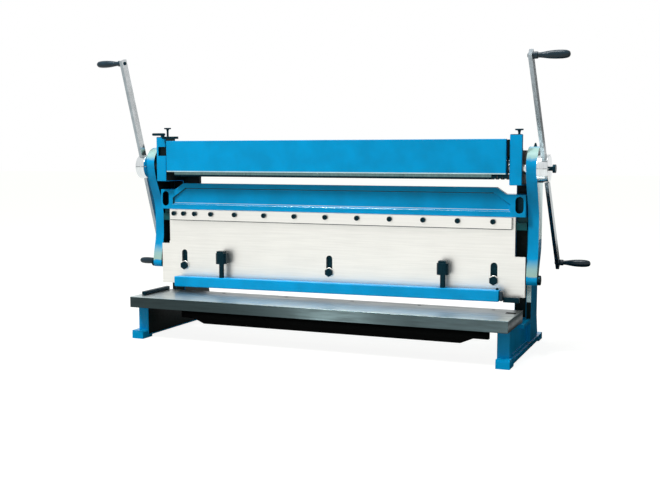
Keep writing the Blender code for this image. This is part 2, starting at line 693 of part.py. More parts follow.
def make_cross_rails():
    length = 2 * (FRAME_INNER - FACE_GAP)
    places = {"upper_cross_rail": (UPPER_RAIL_SETBACK, BEAM_LOW + RUNNING_GAP + UPPER_RAIL_SETBACK),
              "lower_cross_rail": (LOWER_RAIL_SETBACK, TABLE_TOP + LOWER_RAIL_RISE)}
    for name, (setback, low) in places.items():
        rail = add_piece(name, box(length, RAIL_DEPTH, RAIL_HEIGHT),
                         (0, COLUMN_FRONT + setback + RAIL_DEPTH / 2, low + RAIL_HEIGHT / 2), None, BLUE)
        bevel(rail, HEAD_BEVEL)


# The brake's fixed half: beam and fingers

def make_brake_beam():
    beam = add_piece("brake_beam", box(2 * BEAM_HALF, BEAM_THICK, BEAM_HEIGHT),
                     (0, BEAM_FRONT + BEAM_THICK / 2, BEAM_LOW + BEAM_HEIGHT / 2), None, BLUE)
    bevel(beam, BEAM_BEVEL, 2)
    fuse(beam, box(2 * ROLL_HALF, BEAM_LIP, BEAM_LIP_THICK),
         (0, BEAM_FRONT + BEAM_THICK / 2 + BEAM_LIP / 2, BEAM_TOP - BEAM_BEVEL - BEAM_LIP_THICK / 2))
    for side in SIDES.values():
        inner = FRAME_INNER - LUG_LENGTH
        fuse(beam, box(LUG_LENGTH - FACE_GAP, LUG_THICK + SEAM, LUG_HEIGHT),
             (side * (inner + (LUG_LENGTH - FACE_GAP) / 2), BEAM_REAR + (LUG_THICK - SEAM) / 2,
              BEAM_TOP - BEAM_BEVEL - LUG_HEIGHT / 2))


def finger_outline():
    front = BEAM_REAR + FACE_GAP
    rear = front + FINGER_DEPTH
    ridge = RAM_FRONT + GROOVE_SETBACK
    return [
        (front, FINGER_LOW), (ridge - FINGER_RIDGE_WIDTH / 2, FINGER_LOW), (ridge, FINGER_LOW - FINGER_RIDGE),
        (ridge + FINGER_RIDGE_WIDTH / 2, FINGER_LOW), (rear, FINGER_LOW), (rear, FINGER_TOP),
        (front + FINGER_TONGUE, FINGER_TOP), (front + FINGER_TONGUE, FINGER_LOW + FINGER_HEIGHT),
        (front, FINGER_LOW + FINGER_HEIGHT)]


def make_fingers():
    small_start = FINGER_RIGHT - SMALL_FINGER_COUNT * SMALL_FINGER_WIDTH
    long_width = (small_start - FINGER_LEFT) / LONG_FINGER_COUNT
    widths = [long_width] * LONG_FINGER_COUNT + [SMALL_FINGER_WIDTH] * SMALL_FINGER_COUNT
    left = FINGER_LEFT
    for number, width in enumerate(widths, start=1):
        add_piece(f"finger_{number}", plate(finger_outline(), width - FINGER_SPLIT),
                  (left + width / 2, 0, 0), None, GROUND)
        left += width


# The ram with what it carries

def panel_outline():
    """The sunk panel in the ram's face keeps an even rim below the crest and its sloping corners."""
    half_low = RAM_HALF - PANEL_MARGIN_SIDE
    top = RAM_TOP - PANEL_MARGIN_TOP
    half = [(half_low, RAM_LOW + PANEL_MARGIN_LOW), (half_low, top - PANEL_CORNER_DROP),
            (half_low - PANEL_CORNER, top)]
    return half + [(-x, z) for x, z in reversed(half)]


def make_ram():
    add_body("ram", (0, RAM_FRONT + RAM_DEPTH / 2, RAM_LOW))
    half = [(RAM_HALF, RAM_LOW), (RAM_HALF, RAM_SHOULDER), (RAM_CREST_HALF + RAM_CHAMFER, RAM_SHOULDER),
            (RAM_CREST_HALF, RAM_TOP)]
    outline = half + [(-x, z) for x, z in reversed(half)]
    middle_y = RAM_FRONT + RAM_DEPTH / 2
    ram = add_piece("ram_beam", plate(outline, RAM_DEPTH, "Y"), (0, middle_y, 0), "ram", BLUE)
    web_low = RAM_LOW - WEB_DROP
    web_y = PLATE_REAR + FACE_GAP + WEB_THICK / 2
    fuse(ram, box(2 * (FRAME_INNER - WEB_INSET), WEB_THICK, WEB_DROP + SEAM),
         (0, web_y, web_low + (WEB_DROP + SEAM) / 2))
    cut(ram, plate(panel_outline(), 2 * PANEL_RECESS, "Y"), (0, RAM_FRONT, 0))
    for side in SIDES.values():
        cut(ram, plate(stadium(RAM_SLOT_WIDTH, RAM_SLOT_LENGTH), 2 * RAM_SLOT_DEPTH, "Y"),
            (side * (RAM_HALF - RAM_SLOT_INSET), RAM_FRONT, RAM_LOW + RAM_SLOT_RISE))
    crest_rear = RAM_FRONT + RAM_CREST_DEPTH
    behind_crest = RAM_REAR - crest_rear + CUT_OVERRUN
    above_shoulder = RAM_SHOULDER_DROP + CUT_OVERRUN
    cut(ram, box(2 * RAM_HALF, behind_crest, above_shoulder),
        (0, crest_rear + behind_crest / 2, RAM_SHOULDER + above_shoulder / 2))
    groove_side = GROOVE_WIDTH / sqrt(2)
    cut(ram, box(2 * RAM_HALF, groove_side, groove_side), (0, RAM_FRONT + GROOVE_SETBACK, RAM_TOP),
        (pi / 4, 0, 0))
    for x in slot_places():
        cut(ram, disc(PLATE_BOLT_SHANK + FACE_GAP, WEB_THICK + 2 * CUT_OVERRUN, "Y", SIDES_SMALL),
            (x, web_y, slot_bolt_z()))


def slot_places():
    return [SLOT_SHIFT + step * PLATE_HALF * SLOT_PLACE_SHARE for step in (-1, 0, 1)]


def slot_bolt_z():
    return TABLE_TOP + SLOT_RISE + SLOT_WIDTH / 2


def make_blade_plate():
    outline = [
        (-ARM_HALF, PLATE_LOW), (ARM_HALF, PLATE_LOW + BLADE_RAKE), (ARM_HALF, ARM_TOP),
        (PLATE_HALF, ARM_TOP), (PLATE_HALF, PLATE_TOP), (-PLATE_HALF, PLATE_TOP), (-PLATE_HALF, ARM_TOP),
        (-ARM_HALF, ARM_TOP)]
    blade = add_piece("blade_plate", plate(outline, PLATE_THICK, "Y"),
                      (0, PLATE_FRONT + PLATE_THICK / 2, 0), "ram", BRIGHT)
    names = ("plate_bolt_left", "plate_bolt_middle", "plate_bolt_right")
    for name, x in zip(names, slot_places()):
        cut(blade, plate(stadium(SLOT_WIDTH, SLOT_LENGTH), PLATE_THICK + 2 * CUT_OVERRUN, "Y"),
            (x, PLATE_FRONT + PLATE_THICK / 2, TABLE_TOP + SLOT_RISE + SLOT_LENGTH / 2))
        head_y = PLATE_FRONT - FACE_GAP - PLATE_BOLT_HEAD_HEIGHT / 2
        bolt = add_piece(name, disc(PLATE_BOLT_HEAD, PLATE_BOLT_HEAD_HEIGHT, "Y", 6),
                         (x, head_y, slot_bolt_z()), "ram", BLACKED)
        shank = PLATE_BOLT_REACH + SEAM
        fuse(bolt, disc(PLATE_BOLT_SHANK, shank, "Y", SIDES_SMALL),
             (x, PLATE_FRONT - FACE_GAP - SEAM + shank / 2, slot_bolt_z()))


def make_clamp_strip():
    strip_y = PLATE_FRONT - FACE_GAP - STRIP_THICK / 2
    strip_top = RAM_LOW - STRIP_DROP
    strip = add_piece("clamp_strip", box(2 * STRIP_HALF, STRIP_THICK, STRIP_HEIGHT),
                      (0, strip_y, strip_top - STRIP_HEIGHT / 2), "ram", BRIGHT)
    bolt_y = strip_y - STRIP_THICK / 2 - (STRIP_BOLT_HEIGHT - SEAM) / 2
    for share in STRIP_BOLT_SHARES:
        fuse(strip, disc(STRIP_BOLT_RADIUS, STRIP_BOLT_HEIGHT + SEAM, "Y", SIDES_TINY),
             (share * STRIP_HALF, bolt_y, strip_top - STRIP_BOLT_DROP))


def make_guide_blocks():
    for name, side in SIDES.items():
        x = side * (ARM_HALF - GUIDE_BLOCK_WIDTH / 2)
        front = PLATE_REAR + FACE_GAP
        depth = RAM_REAR - front
        top = RAM_LOW - GUIDE_BLOCK_DROP
        block = add_piece("guide_block_" + name, box(GUIDE_BLOCK_WIDTH, depth, GUIDE_BLOCK_HEIGHT),
                          (x, front + depth / 2, top - GUIDE_BLOCK_HEIGHT / 2), "ram", BLUE)
        neck_height = GUIDE_BLOCK_DROP - FACE_GAP + SEAM
        neck_depth = depth - GUIDE_NECK_SETBACK
        fuse(block, box(GUIDE_BLOCK_WIDTH - SEAM, neck_depth, neck_height),
             (x, RAM_REAR - SEAM - neck_depth / 2, top - SEAM + neck_height / 2))


# The hold-down bar hangs from the ram on two sprung posts

def make_hold_down():
    add_body("hold_down", (0, POST_Y, TABLE_TOP + HOLD_OPENING), "ram")
    slope = atan2(HOLD_RAKE, 2 * HOLD_HALF)
    middle_z = TABLE_TOP + HOLD_OPENING + HOLD_HEIGHT / 2
    bar = add_piece("hold_down_bar", box(2 * HOLD_HALF, HOLD_DEPTH, HOLD_HEIGHT),
                    (0, POST_Y, middle_z), "hold_down", BLUE)
    bar.rotation_euler = (0, -slope, 0)
    bevel(bar, HOLD_BEVEL)
    cap_x = HOLD_HALF + FACE_GAP + END_CAP_LENGTH / 2
    cap = add_piece("hold_down_end_cap",
                    box(END_CAP_LENGTH, HOLD_DEPTH - 2 * END_CAP_STEP, HOLD_HEIGHT - 2 * END_CAP_STEP),
                    (cap_x, POST_Y, middle_z + cap_x * tan(slope)), "hold_down", PLASTIC)
    cap.rotation_euler = (0, -slope, 0)
    housing_low = TABLE_TOP + HOUSING_RISE
    housing_top = housing_low + HOUSING_HEIGHT
    for name, side in SIDES.items():
        x = side * POST_PLACE_SHARE * HOLD_HALF
        socket = HOLD_HEIGHT / 2 + CUT_OVERRUN
        cut(bar, disc(POST_RADIUS + FACE_GAP, 2 * socket, "Z"), (x, POST_Y, middle_z + socket))
        post_top = housing_top + NUT_HEIGHT
        length = post_top - middle_z - FACE_GAP
        add_piece("hold_down_post_" + name, disc(POST_RADIUS, length, "Z"),
                  (x, POST_Y, post_top - length / 2), "hold_down", BLACKED)
        housing = add_piece("spring_housing_" + name, disc(HOUSING_RADIUS, HOUSING_HEIGHT, "Z"),
                            (x, POST_Y, housing_low + HOUSING_HEIGHT / 2), "ram", BLACKED)
        pad = PLATE_FRONT - FACE_GAP - POST_Y
        fuse(housing, box(HOUSING_PAD_WIDTH, pad, HOUSING_HEIGHT - 2 * SEAM),
             (x, POST_Y + pad / 2, housing_low + HOUSING_HEIGHT / 2))
        fuse(housing, box(NUT_WIDTH, NUT_WIDTH, NUT_HEIGHT + SEAM),
             (x, POST_Y, housing_top + (NUT_HEIGHT - SEAM) / 2))
        bore = HOUSING_HEIGHT + NUT_HEIGHT + 2 * CUT_OVERRUN
        cut(housing, disc(POST_RADIUS + RUNNING_GAP, bore, "Z"),
            (x, POST_Y, housing_low - CUT_OVERRUN + bore / 2))


# The drive: eccentric shaft with its eccentrics, hubs, bars and grips

def make_eccentric_shaft():
    add_body("crank", (0, SHAFT_Y, SHAFT_Z))
    half = BAR_MIDDLE - BAR_THICK / 2 - FACE_GAP
    shaft = add_piece("eccentric_shaft", disc(SHAFT_RADIUS, 2 * half), (0, SHAFT_Y, SHAFT_Z), "crank", GROUND)
    fuse(shaft, gear(DRIVE_PITCH_RADIUS, DRIVE_TEETH, GEAR_FACE),
         (-(FRAME_INNER - GEAR_INSET - GEAR_FACE / 2), SHAFT_Y, SHAFT_Z))


def make_crank_side(name):
    side = SIDES[name]
    lean = LEANS[name]
    middle_x = side * (LINK_INNER + LINK_THICK / 2)
    eccentric = add_piece(name + "_eccentric",
                          disc(ECCENTRIC_RADIUS, LINK_THICK - 2 * FACE_GAP, sides=SIDES_LARGE),
                          (middle_x, STRAP_Y, STRAP_Z), "crank", GROUND)
    cut(eccentric, disc(SHAFT_RADIUS + FACE_GAP, LINK_THICK + 2 * CUT_OVERRUN), (middle_x, SHAFT_Y, SHAFT_Z))
    hub_x = side * (HUB_INNER + HUB_THICK / 2)
    hub = add_piece(name + "_hub", disc(HUB_RADIUS, HUB_THICK, sides=SIDES_LARGE),
                    (hub_x, SHAFT_Y, SHAFT_Z), "crank", POLISHED)
    bevel(hub, HEAD_BEVEL, 2)
    slot_thick = BAR_THICK + 2 * FACE_GAP
    cut(hub, box(slot_thick, BAR_WIDTH + 2 * FACE_GAP, 2 * (HUB_RADIUS + CUT_OVERRUN)),
        (side * BAR_MIDDLE, SHAFT_Y, SHAFT_Z), (lean, 0, 0))
    inner_bore = BAR_MIDDLE - HUB_INNER + CUT_OVERRUN
    cut(hub, disc(SHAFT_RADIUS + FACE_GAP, inner_bore),
        (side * (BAR_MIDDLE - inner_bore / 2), SHAFT_Y, SHAFT_Z))
    outer_bore = HUB_OUTER - BAR_MIDDLE + CUT_OVERRUN
    cut(hub, disc(END_BOLT_RADIUS + FACE_GAP, outer_bore, sides=SIDES_SMALL),
        (side * (BAR_MIDDLE + outer_bore / 2), SHAFT_Y, SHAFT_Z))
    bar = add_piece(name + "_crank_bar", box(BAR_THICK, BAR_WIDTH, 2 * REACHES[name]),
                    (side * BAR_MIDDLE, SHAFT_Y, SHAFT_Z), "crank", GROUND)
    bar.rotation_euler = (lean, 0, 0)
    cut(bar, disc(END_BOLT_RADIUS + FACE_GAP, BAR_THICK + 2 * CUT_OVERRUN, sides=SIDES_SMALL),
        (side * BAR_MIDDLE, SHAFT_Y, SHAFT_Z))
    shank_start = BAR_MIDDLE - BAR_THICK / 2
    shank_end = HUB_OUTER + END_BOLT_STANDOFF
    shank = shank_end - shank_start + SEAM
    bolt = add_piece(name + "_end_bolt", disc(END_BOLT_RADIUS, shank, sides=SIDES_SMALL),
                     (side * (shank_start + shank / 2), SHAFT_Y, SHAFT_Z), "crank", POLISHED)
    fuse(bolt, disc(END_BOLT_HEAD_RADIUS, END_BOLT_HEAD, sides=SIDES_MEDIUM),
         (side * (shank_end + END_BOLT_HEAD / 2), SHAFT_Y, SHAFT_Z))
    for end, arm in (("upper", 1), ("lower", -1)):
        make_grip(name, end, arm, bar)


def grip_profile():
    """Outline of a grip from its round end back to the face that runs on the bar."""
    shape_shares = [(1.0, 0.45), (0.96, 0.76), (0.86, 0.95), (0.7, 1.0), (0.52, 0.95), (0.36, 0.8)]
    outer = [(GRIP_RADIUS * width, GRIP_LENGTH * along) for along, width in shape_shares]
    neck_end = GRIP_COLLAR + GRIP_COLLAR / 2
    bore = STUD_RADIUS + RUNNING_GAP
    bore_end = STUD_LENGTH + RUNNING_GAP
    return [(0, GRIP_LENGTH)] + outer + [
        (GRIP_NECK_RADIUS, neck_end), (GRIP_NECK_RADIUS, GRIP_COLLAR), (GRIP_COLLAR_RADIUS, GRIP_COLLAR),
        (GRIP_COLLAR_RADIUS, 0), (bore, 0), (bore, bore_end), (0, bore_end)]


def make_grip(name, end, arm, bar):
    side = SIDES[name]
    lean = LEANS[name]
    reach = REACHES[name] - GRIP_INSET
    y = SHAFT_Y - arm * reach * sin(lean)
    z = SHAFT_Z + arm * reach * cos(lean)
    face = BAR_MIDDLE + BAR_THICK / 2
    fuse(bar, disc(STUD_RADIUS, STUD_LENGTH + SEAM, sides=SIDES_SMALL),
         (side * (face - SEAM + (STUD_LENGTH + SEAM) / 2), y, z))
    body = f"{name}_{end}_grip"
    start = side * (face + RUNNING_GAP)
    add_body(body, (start, y, z), "crank")
    grip = add_piece(body, profile_mesh(grip_profile()), (start, y, z), body, PLASTIC)
    grip.rotation_euler = (0, side * pi / 2, 0)
    spin(grip)


# A link hangs from each eccentric and is pinned beside the ram

def link_outline():
    """Rod below the strap, as (Y, Z) offsets from the strap's centre."""
    front = PLATE_FRONT + ROD_FRONT - STRAP_Y
    rear = front + ROD_WIDTH
    pin_y = PIN_Y - STRAP_Y
    pin_z = PIN_Z - STRAP_Z
    shares = [step / CURVE_STEPS for step in range(CURVE_STEPS + 1)]
    strap_front = SEAM - STRAP_RADIUS
    foot_half = LINK_BOSS_RADIUS - SEAM
    shoulder = [(strap_front + (front - strap_front) * smooth_rise(s), -ROD_NECK_DROP * s) for s in shares]
    foot_drop = -pin_z - ROD_SWEEP_DROP
    foot_front = [(front + (pin_y - foot_half - front) * smooth_rise(s), -ROD_SWEEP_DROP - foot_drop * s)
                  for s in shares]
    foot_rear = [(rear + (pin_y + foot_half - rear) * smooth_rise(s), -ROD_SWEEP_DROP - foot_drop * s)
                 for s in shares]
    return shoulder + foot_front + foot_rear[::-1] + [(rear, 0)]


def make_link(name):
    side = SIDES[name]
    middle_x = side * (LINK_INNER + LINK_THICK / 2)
    body = name + "_link"
    add_body(body, (middle_x, STRAP_Y, STRAP_Z), "crank")
    link = add_piece(body, plate(link_outline(), LINK_THICK), (middle_x, STRAP_Y, STRAP_Z), body, BLUE)
    fuse(link, disc(STRAP_RADIUS, LINK_THICK - SEAM, sides=SIDES_LARGE), (middle_x, STRAP_Y, STRAP_Z))
    fuse(link, disc(LINK_BOSS_RADIUS, LINK_THICK - SEAM), (middle_x, PIN_Y, PIN_Z))
    fuse(link, disc(OIL_CUP_RADIUS, OIL_CUP_HEIGHT + 2 * SEAM, "Z", SIDES_SMALL),
         (middle_x, STRAP_Y, STRAP_Z + STRAP_RADIUS + OIL_CUP_HEIGHT / 2 - SEAM))
    cut(link, disc(ECCENTRIC_RADIUS + FACE_GAP, LINK_THICK + 2 * CUT_OVERRUN, sides=SIDES_LARGE),
        (middle_x, STRAP_Y, STRAP_Z))
    cut(link, disc(LINK_PIN_RADIUS + FACE_GAP, LINK_THICK + 2 * CUT_OVERRUN, sides=SIDES_SMALL),
        (middle_x, PIN_Y, PIN_Z))
    start = ARM_HALF + RUNNING_GAP
    end = LINK_OUTER + FACE_GAP
    pin = add_piece(name + "_link_pin", disc(LINK_PIN_RADIUS, end - start + SEAM, sides=SIDES_SMALL),
                    (side * (start + (end - start + SEAM) / 2), PIN_Y, PIN_Z), body, BLACKED)
    fuse(pin, disc(LINK_PIN_HEAD_RADIUS, LINK_PIN_HEAD, sides=SIDES_SMALL),
         (side * (end + LINK_PIN_HEAD / 2), PIN_Y, PIN_Z))


# Slip rolls behind the beam

def pinion_radius():
    return ROLL_RADIUS + ROLL_NIP / 2


def make_roll(name, body, y, z):
    roll = add_piece(name, disc(ROLL_RADIUS, 2 * ROLL_HALF), (0, y, z), body, POLISHED)
    fuse(roll, disc(JOURNAL_RADIUS, 2 * (FRAME_INNER + JOURNAL_REACH)), (0, y, z))
    return roll


def make_rolls():
    gear_x = FRAME_INNER - GEAR_INSET - GEAR_FACE / 2
    drive_pitch = 2 * pi / DRIVE_TEETH
    add_body("lower_roll", (0, LOWER_ROLL_Y, LOWER_ROLL_Z))
    lower = make_roll("lower_roll", "lower_roll", LOWER_ROLL_Y, LOWER_ROLL_Z)
    meshed = DRIVE_ANGLE + pi + drive_pitch / 2 + DRIVE_ANGLE % drive_pitch
    fuse(lower, gear(DRIVE_PITCH_RADIUS, DRIVE_TEETH, GEAR_FACE, meshed),
         (-gear_x, LOWER_ROLL_Y, LOWER_ROLL_Z))
    fuse(lower, gear(pinion_radius(), PINION_TEETH, GEAR_FACE), (gear_x, LOWER_ROLL_Y, LOWER_ROLL_Z))
    add_body("upper_roll_blocks", (0, LOWER_ROLL_Y, UPPER_ROLL_Z))
    add_body("upper_roll", (0, LOWER_ROLL_Y, UPPER_ROLL_Z), "upper_roll_blocks")
    upper = make_roll("upper_roll", "upper_roll", LOWER_ROLL_Y, UPPER_ROLL_Z)
    fuse(upper, gear(pinion_radius(), PINION_TEETH, GEAR_FACE, pi / PINION_TEETH),
         (gear_x, LOWER_ROLL_Y, UPPER_ROLL_Z))
    add_body("rear_roll_blocks", (0, REAR_ROLL_Y, REAR_ROLL_Z))
    add_body("rear_roll", (0, REAR_ROLL_Y, REAR_ROLL_Z), "rear_roll_blocks")
    make_roll("rear_roll", "rear_roll", REAR_ROLL_Y, REAR_ROLL_Z)


def make_bearing_block(name, side, body, y, z):
    x = side * (FRAME_INNER + FACE_GAP + BLOCK_LENGTH / 2)
    block = add_piece(name, box(BLOCK_LENGTH, BLOCK_DEPTH, BLOCK_HEIGHT), (x, y, z), body, GROUND)
    cut(block, disc(JOURNAL_RADIUS + RUNNING_GAP / 2, BLOCK_LENGTH + 2 * CUT_OVERRUN), (x, y, z))


def make_adjusters():
    rises = {"left": LEFT_SCREW_RISE, "right": RIGHT_SCREW_RISE}
    for name, side in SIDES.items():
        x = side * FRAME_MIDDLE
        make_bearing_block("upper_roll_block_" + name, side, "upper_roll_blocks", LOWER_ROLL_Y, UPPER_ROLL_Z)
        make_bearing_block("rear_roll_block_" + name, side, "rear_roll_blocks", REAR_ROLL_Y, REAR_ROLL_Z)
        screw_body = "roll_screw_" + name
        add_body(screw_body, (x, LOWER_ROLL_Y, HEAD_TOP), "upper_roll_blocks")
        low = UPPER_ROLL_Z + BLOCK_HEIGHT / 2 + FACE_GAP
        top = HEAD_TOP + rises[name]
        screw = add_piece(screw_body, disc(SCREW_RADIUS, top - low, "Z", SIDES_SMALL),
                          (x, LOWER_ROLL_Y, (low + top) / 2), screw_body, BLACKED)
        fuse(screw, disc(CROSSBAR_RADIUS, CROSSBAR_LENGTH, "X", SIDES_SMALL),
             (x, LOWER_ROLL_Y, top - 2 * CROSSBAR_RADIUS))
        grub_body = "rear_screw_" + name
        add_body(grub_body, (x, REAR_ROLL_Y, REAR_SHOULDER), "rear_roll_blocks")
        grub_low = REAR_ROLL_Z + BLOCK_HEIGHT / 2 + FACE_GAP
        grub_top = REAR_SHOULDER + GRUB_RISE
        grub = add_piece(grub_body, disc(GRUB_RADIUS, grub_top - grub_low, "Z", SIDES_SMALL),
                         (x, REAR_ROLL_Y, (grub_low + grub_top) / 2), grub_body, BLACKED)
        cut(grub, disc(GRUB_SOCKET_RADIUS, 2 * GRUB_SOCKET_DEPTH, "Z", 6), (x, REAR_ROLL_Y, grub_top))


def lever_outline():
    radius = LEVER_WIDTH / 2
    middle = -(LEVER_LENGTH - LEVER_TAIL) + radius
    steps = [pi / 2 + pi * step / CURVE_STEPS for step in range(CURVE_STEPS + 1)]
    round_end = [(middle + radius * cos(a), radius * sin(a)) for a in steps]
    return round_end + [(LEVER_TAIL, -radius), (LEVER_TAIL, radius)]


def make_release_lever():
    x = -FRAME_MIDDLE
    y = HEAD_Y + LEVER_SETBACK
    low = HEAD_TOP + FACE_GAP
    add_body("release_lever", (x, y, low))
    lever = add_piece("release_lever", plate(lever_outline(), LEVER_THICK, "Z"),
                      (x, y, low + LEVER_BOSS_HEIGHT + LEVER_THICK / 2), "release_lever", BLACKED)
    fuse(lever, disc(LEVER_BOSS_RADIUS, LEVER_BOSS_HEIGHT + SEAM, "Z", SIDES_SMALL),
         (x, y, low + (LEVER_BOSS_HEIGHT + SEAM) / 2))


def make_latch_plate():
    left = -(FRAME_INNER + LATCH_OUTSTAND - FACE_GAP)
    y = BEAM_FRONT + RUNNING_GAP + LATCH_DEPTH / 2
    low = BEAM_TOP + LATCH_FOOT
    latch = add_piece("latch_plate", box(LATCH_LENGTH, LATCH_DEPTH, LATCH_THICK),
                      (left + LATCH_LENGTH / 2, y, low + LATCH_THICK / 2), None, BLACKED)
    foot = LATCH_FOOT - FACE_GAP + SEAM
    fuse(latch, box(LATCH_FOOT_LENGTH, LATCH_DEPTH - 2 * SEAM, foot),
         (left + LATCH_LENGTH - LATCH_FOOT_LENGTH / 2 - SEAM, y, low + SEAM - foot / 2))


def make_machine():
    frames = {name: make_side_frame(name) for name in SIDES}
    make_release_window(frames["left"])
    make_table()
    make_cross_rails()
    make_brake_beam()
    make_fingers()
    make_ram()
    make_blade_plate()
    make_clamp_strip()
    make_guide_blocks()
    make_hold_down()
    make_eccentric_shaft()
    for name in SIDES:
        make_crank_side(name)
        make_link(name)
    make_rolls()
    make_adjusters()
    make_release_lever()
    make_latch_plate()


make_machine()
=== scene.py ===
"""Sheet metal machine with a shear, a press brake and slip rolls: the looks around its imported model."""

import json
import math

import bmesh
import bpy
from bpy.props import FloatProperty, FloatVectorProperty, PointerProperty
from mathutils import Euler, Matrix, Vector

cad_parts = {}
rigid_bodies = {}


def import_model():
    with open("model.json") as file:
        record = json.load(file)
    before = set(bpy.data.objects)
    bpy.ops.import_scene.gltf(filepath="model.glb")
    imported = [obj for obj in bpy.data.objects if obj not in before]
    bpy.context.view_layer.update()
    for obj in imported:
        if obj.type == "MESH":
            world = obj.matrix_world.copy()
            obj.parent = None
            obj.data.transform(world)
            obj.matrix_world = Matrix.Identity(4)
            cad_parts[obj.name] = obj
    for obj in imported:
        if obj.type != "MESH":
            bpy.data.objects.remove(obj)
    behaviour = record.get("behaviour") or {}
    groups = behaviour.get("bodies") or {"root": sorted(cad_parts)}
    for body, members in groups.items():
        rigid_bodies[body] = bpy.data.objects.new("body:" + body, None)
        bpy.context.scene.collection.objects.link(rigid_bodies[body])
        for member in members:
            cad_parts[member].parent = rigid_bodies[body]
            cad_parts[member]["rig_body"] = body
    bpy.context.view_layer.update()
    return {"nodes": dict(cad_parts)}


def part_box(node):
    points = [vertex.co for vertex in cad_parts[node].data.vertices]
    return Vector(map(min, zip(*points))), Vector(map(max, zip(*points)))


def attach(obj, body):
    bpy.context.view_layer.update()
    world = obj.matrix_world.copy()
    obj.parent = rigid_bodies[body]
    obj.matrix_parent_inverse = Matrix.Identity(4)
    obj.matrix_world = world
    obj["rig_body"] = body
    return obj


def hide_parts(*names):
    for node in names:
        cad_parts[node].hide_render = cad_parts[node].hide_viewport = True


bl_info = {
    "name": "Sheet Metal Machine",
    "version": (1, 0, 0),
    "blender": (4, 5, 0),
    "location": "View3D > Sidebar > Sheet Metal",
    "description": "Dresses the packed model of a shear, brake and roll machine in paint and steel",
    "category": "Object",
}

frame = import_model()

MM = 0.001
SIDES = {"left": -1, "right": 1}


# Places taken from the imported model

def low(node, axis):
    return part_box(node)[0]["xyz".index(axis)]


def high(node, axis):
    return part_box(node)[1]["xyz".index(axis)]


def middle(node, axis):
    return (low(node, axis) + high(node, axis)) / 2


def body_of(node):
    return frame["nodes"][node]["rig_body"]


# A side frame's inner face, the outer face of its web, the outer face of the cheek that stands out from the
# web, and the underside of its head, which clears the ram.
FRAME_INNER = low("right_side_frame", "x")
FRAME_OUTER = FRAME_INNER + 42 * MM
CHEEK_OUTER = FRAME_OUTER + 15.2 * MM
HEAD_LOW = high("ram_beam", "z") + 8.1 * MM


# Colour and node helpers

def srgb(code):
    """Turns a six-digit sRGB code into Blender's linear colour with alpha."""
    channels = [int(code[place:place + 2], 16) / 255 for place in (0, 2, 4)]
    linear = [value / 12.92 if value <= 0.04045 else ((value + 0.055) / 1.055) ** 2.4 for value in channels]
    return (*linear, 1.0)


def grey(value):
    return (value, value, value, 1.0)


def times(colour, factor):
    """A colour made darker or lighter."""
    return (*(min(channel * factor, 1) for channel in colour[:3]), 1.0)


def colour_of(finish):
    return tuple(getattr(bpy.context.scene.machine_colours, finish))


def set_inputs(node, inputs):
    """Sets a node's inputs, or links those whose value is a socket of another node."""
    for name, value in inputs.items():
        if isinstance(value, bpy.types.NodeSocket):
            node.id_data.links.new(value, node.inputs[name])
        else:
            node.inputs[name].default_value = value


def add_node(material, kind, inputs=None, stops=(), **settings):
    """Adds one node with its settings, its inputs and, on a colour ramp, its stops as (place, colour)."""
    node = material.node_tree.nodes.new(kind)
    for name, value in settings.items():
        setattr(node, name, value)
    set_inputs(node, inputs or {})
    if stops:
        elements = node.color_ramp.elements
        while len(elements) < len(stops):
            elements.new(0.5)
        for element, (place, colour) in zip(elements, stops):
            element.position = place
            element.color = colour
    return node


def shader_of(material):
    return material.node_tree.nodes["Principled BSDF"]


def start_material(name, **values):
    """A material with one shader; the values are set on the shader's own sockets."""
    material = bpy.data.materials.new(name)
    material.use_nodes = True
    set_inputs(shader_of(material), {socket.replace("_", " "): value for socket, value in values.items()})
    return material


def end_material(material, tone, gloss, relief=None):
    """Links the nodes for colour, roughness and relief to the material's shader."""
    inputs = {"Base Color": tone.outputs["Color"], "Roughness": gloss.outputs["Result"]}
    if relief:
        inputs["Normal"] = relief.outputs["Normal"]
    set_inputs(shader_of(material), inputs)
    return material


def placed(material, scale=(1, 1, 1), turn=(0, 0, 0)):
    """Object coordinates, turned and scaled for a pattern."""
    coordinates = add_node(material, "ShaderNodeTexCoord")
    return add_node(material, "ShaderNodeMapping", {
        "Vector": coordinates.outputs["Object"], "Scale": scale, "Rotation": turn}).outputs["Vector"]


# Sizes and colours that a user would change

def finish_colour(name, description, code):
    """A colour property whose default is an sRGB code."""
    return FloatVectorProperty(name=name, description=description, subtype="COLOR", size=4, min=0, max=1,
                               default=srgb(code))


def length(name, description, default):
    """A property for a distance in metres."""
    return FloatProperty(name=name, description=description, subtype="DISTANCE", unit="LENGTH", min=0,
                         default=default)


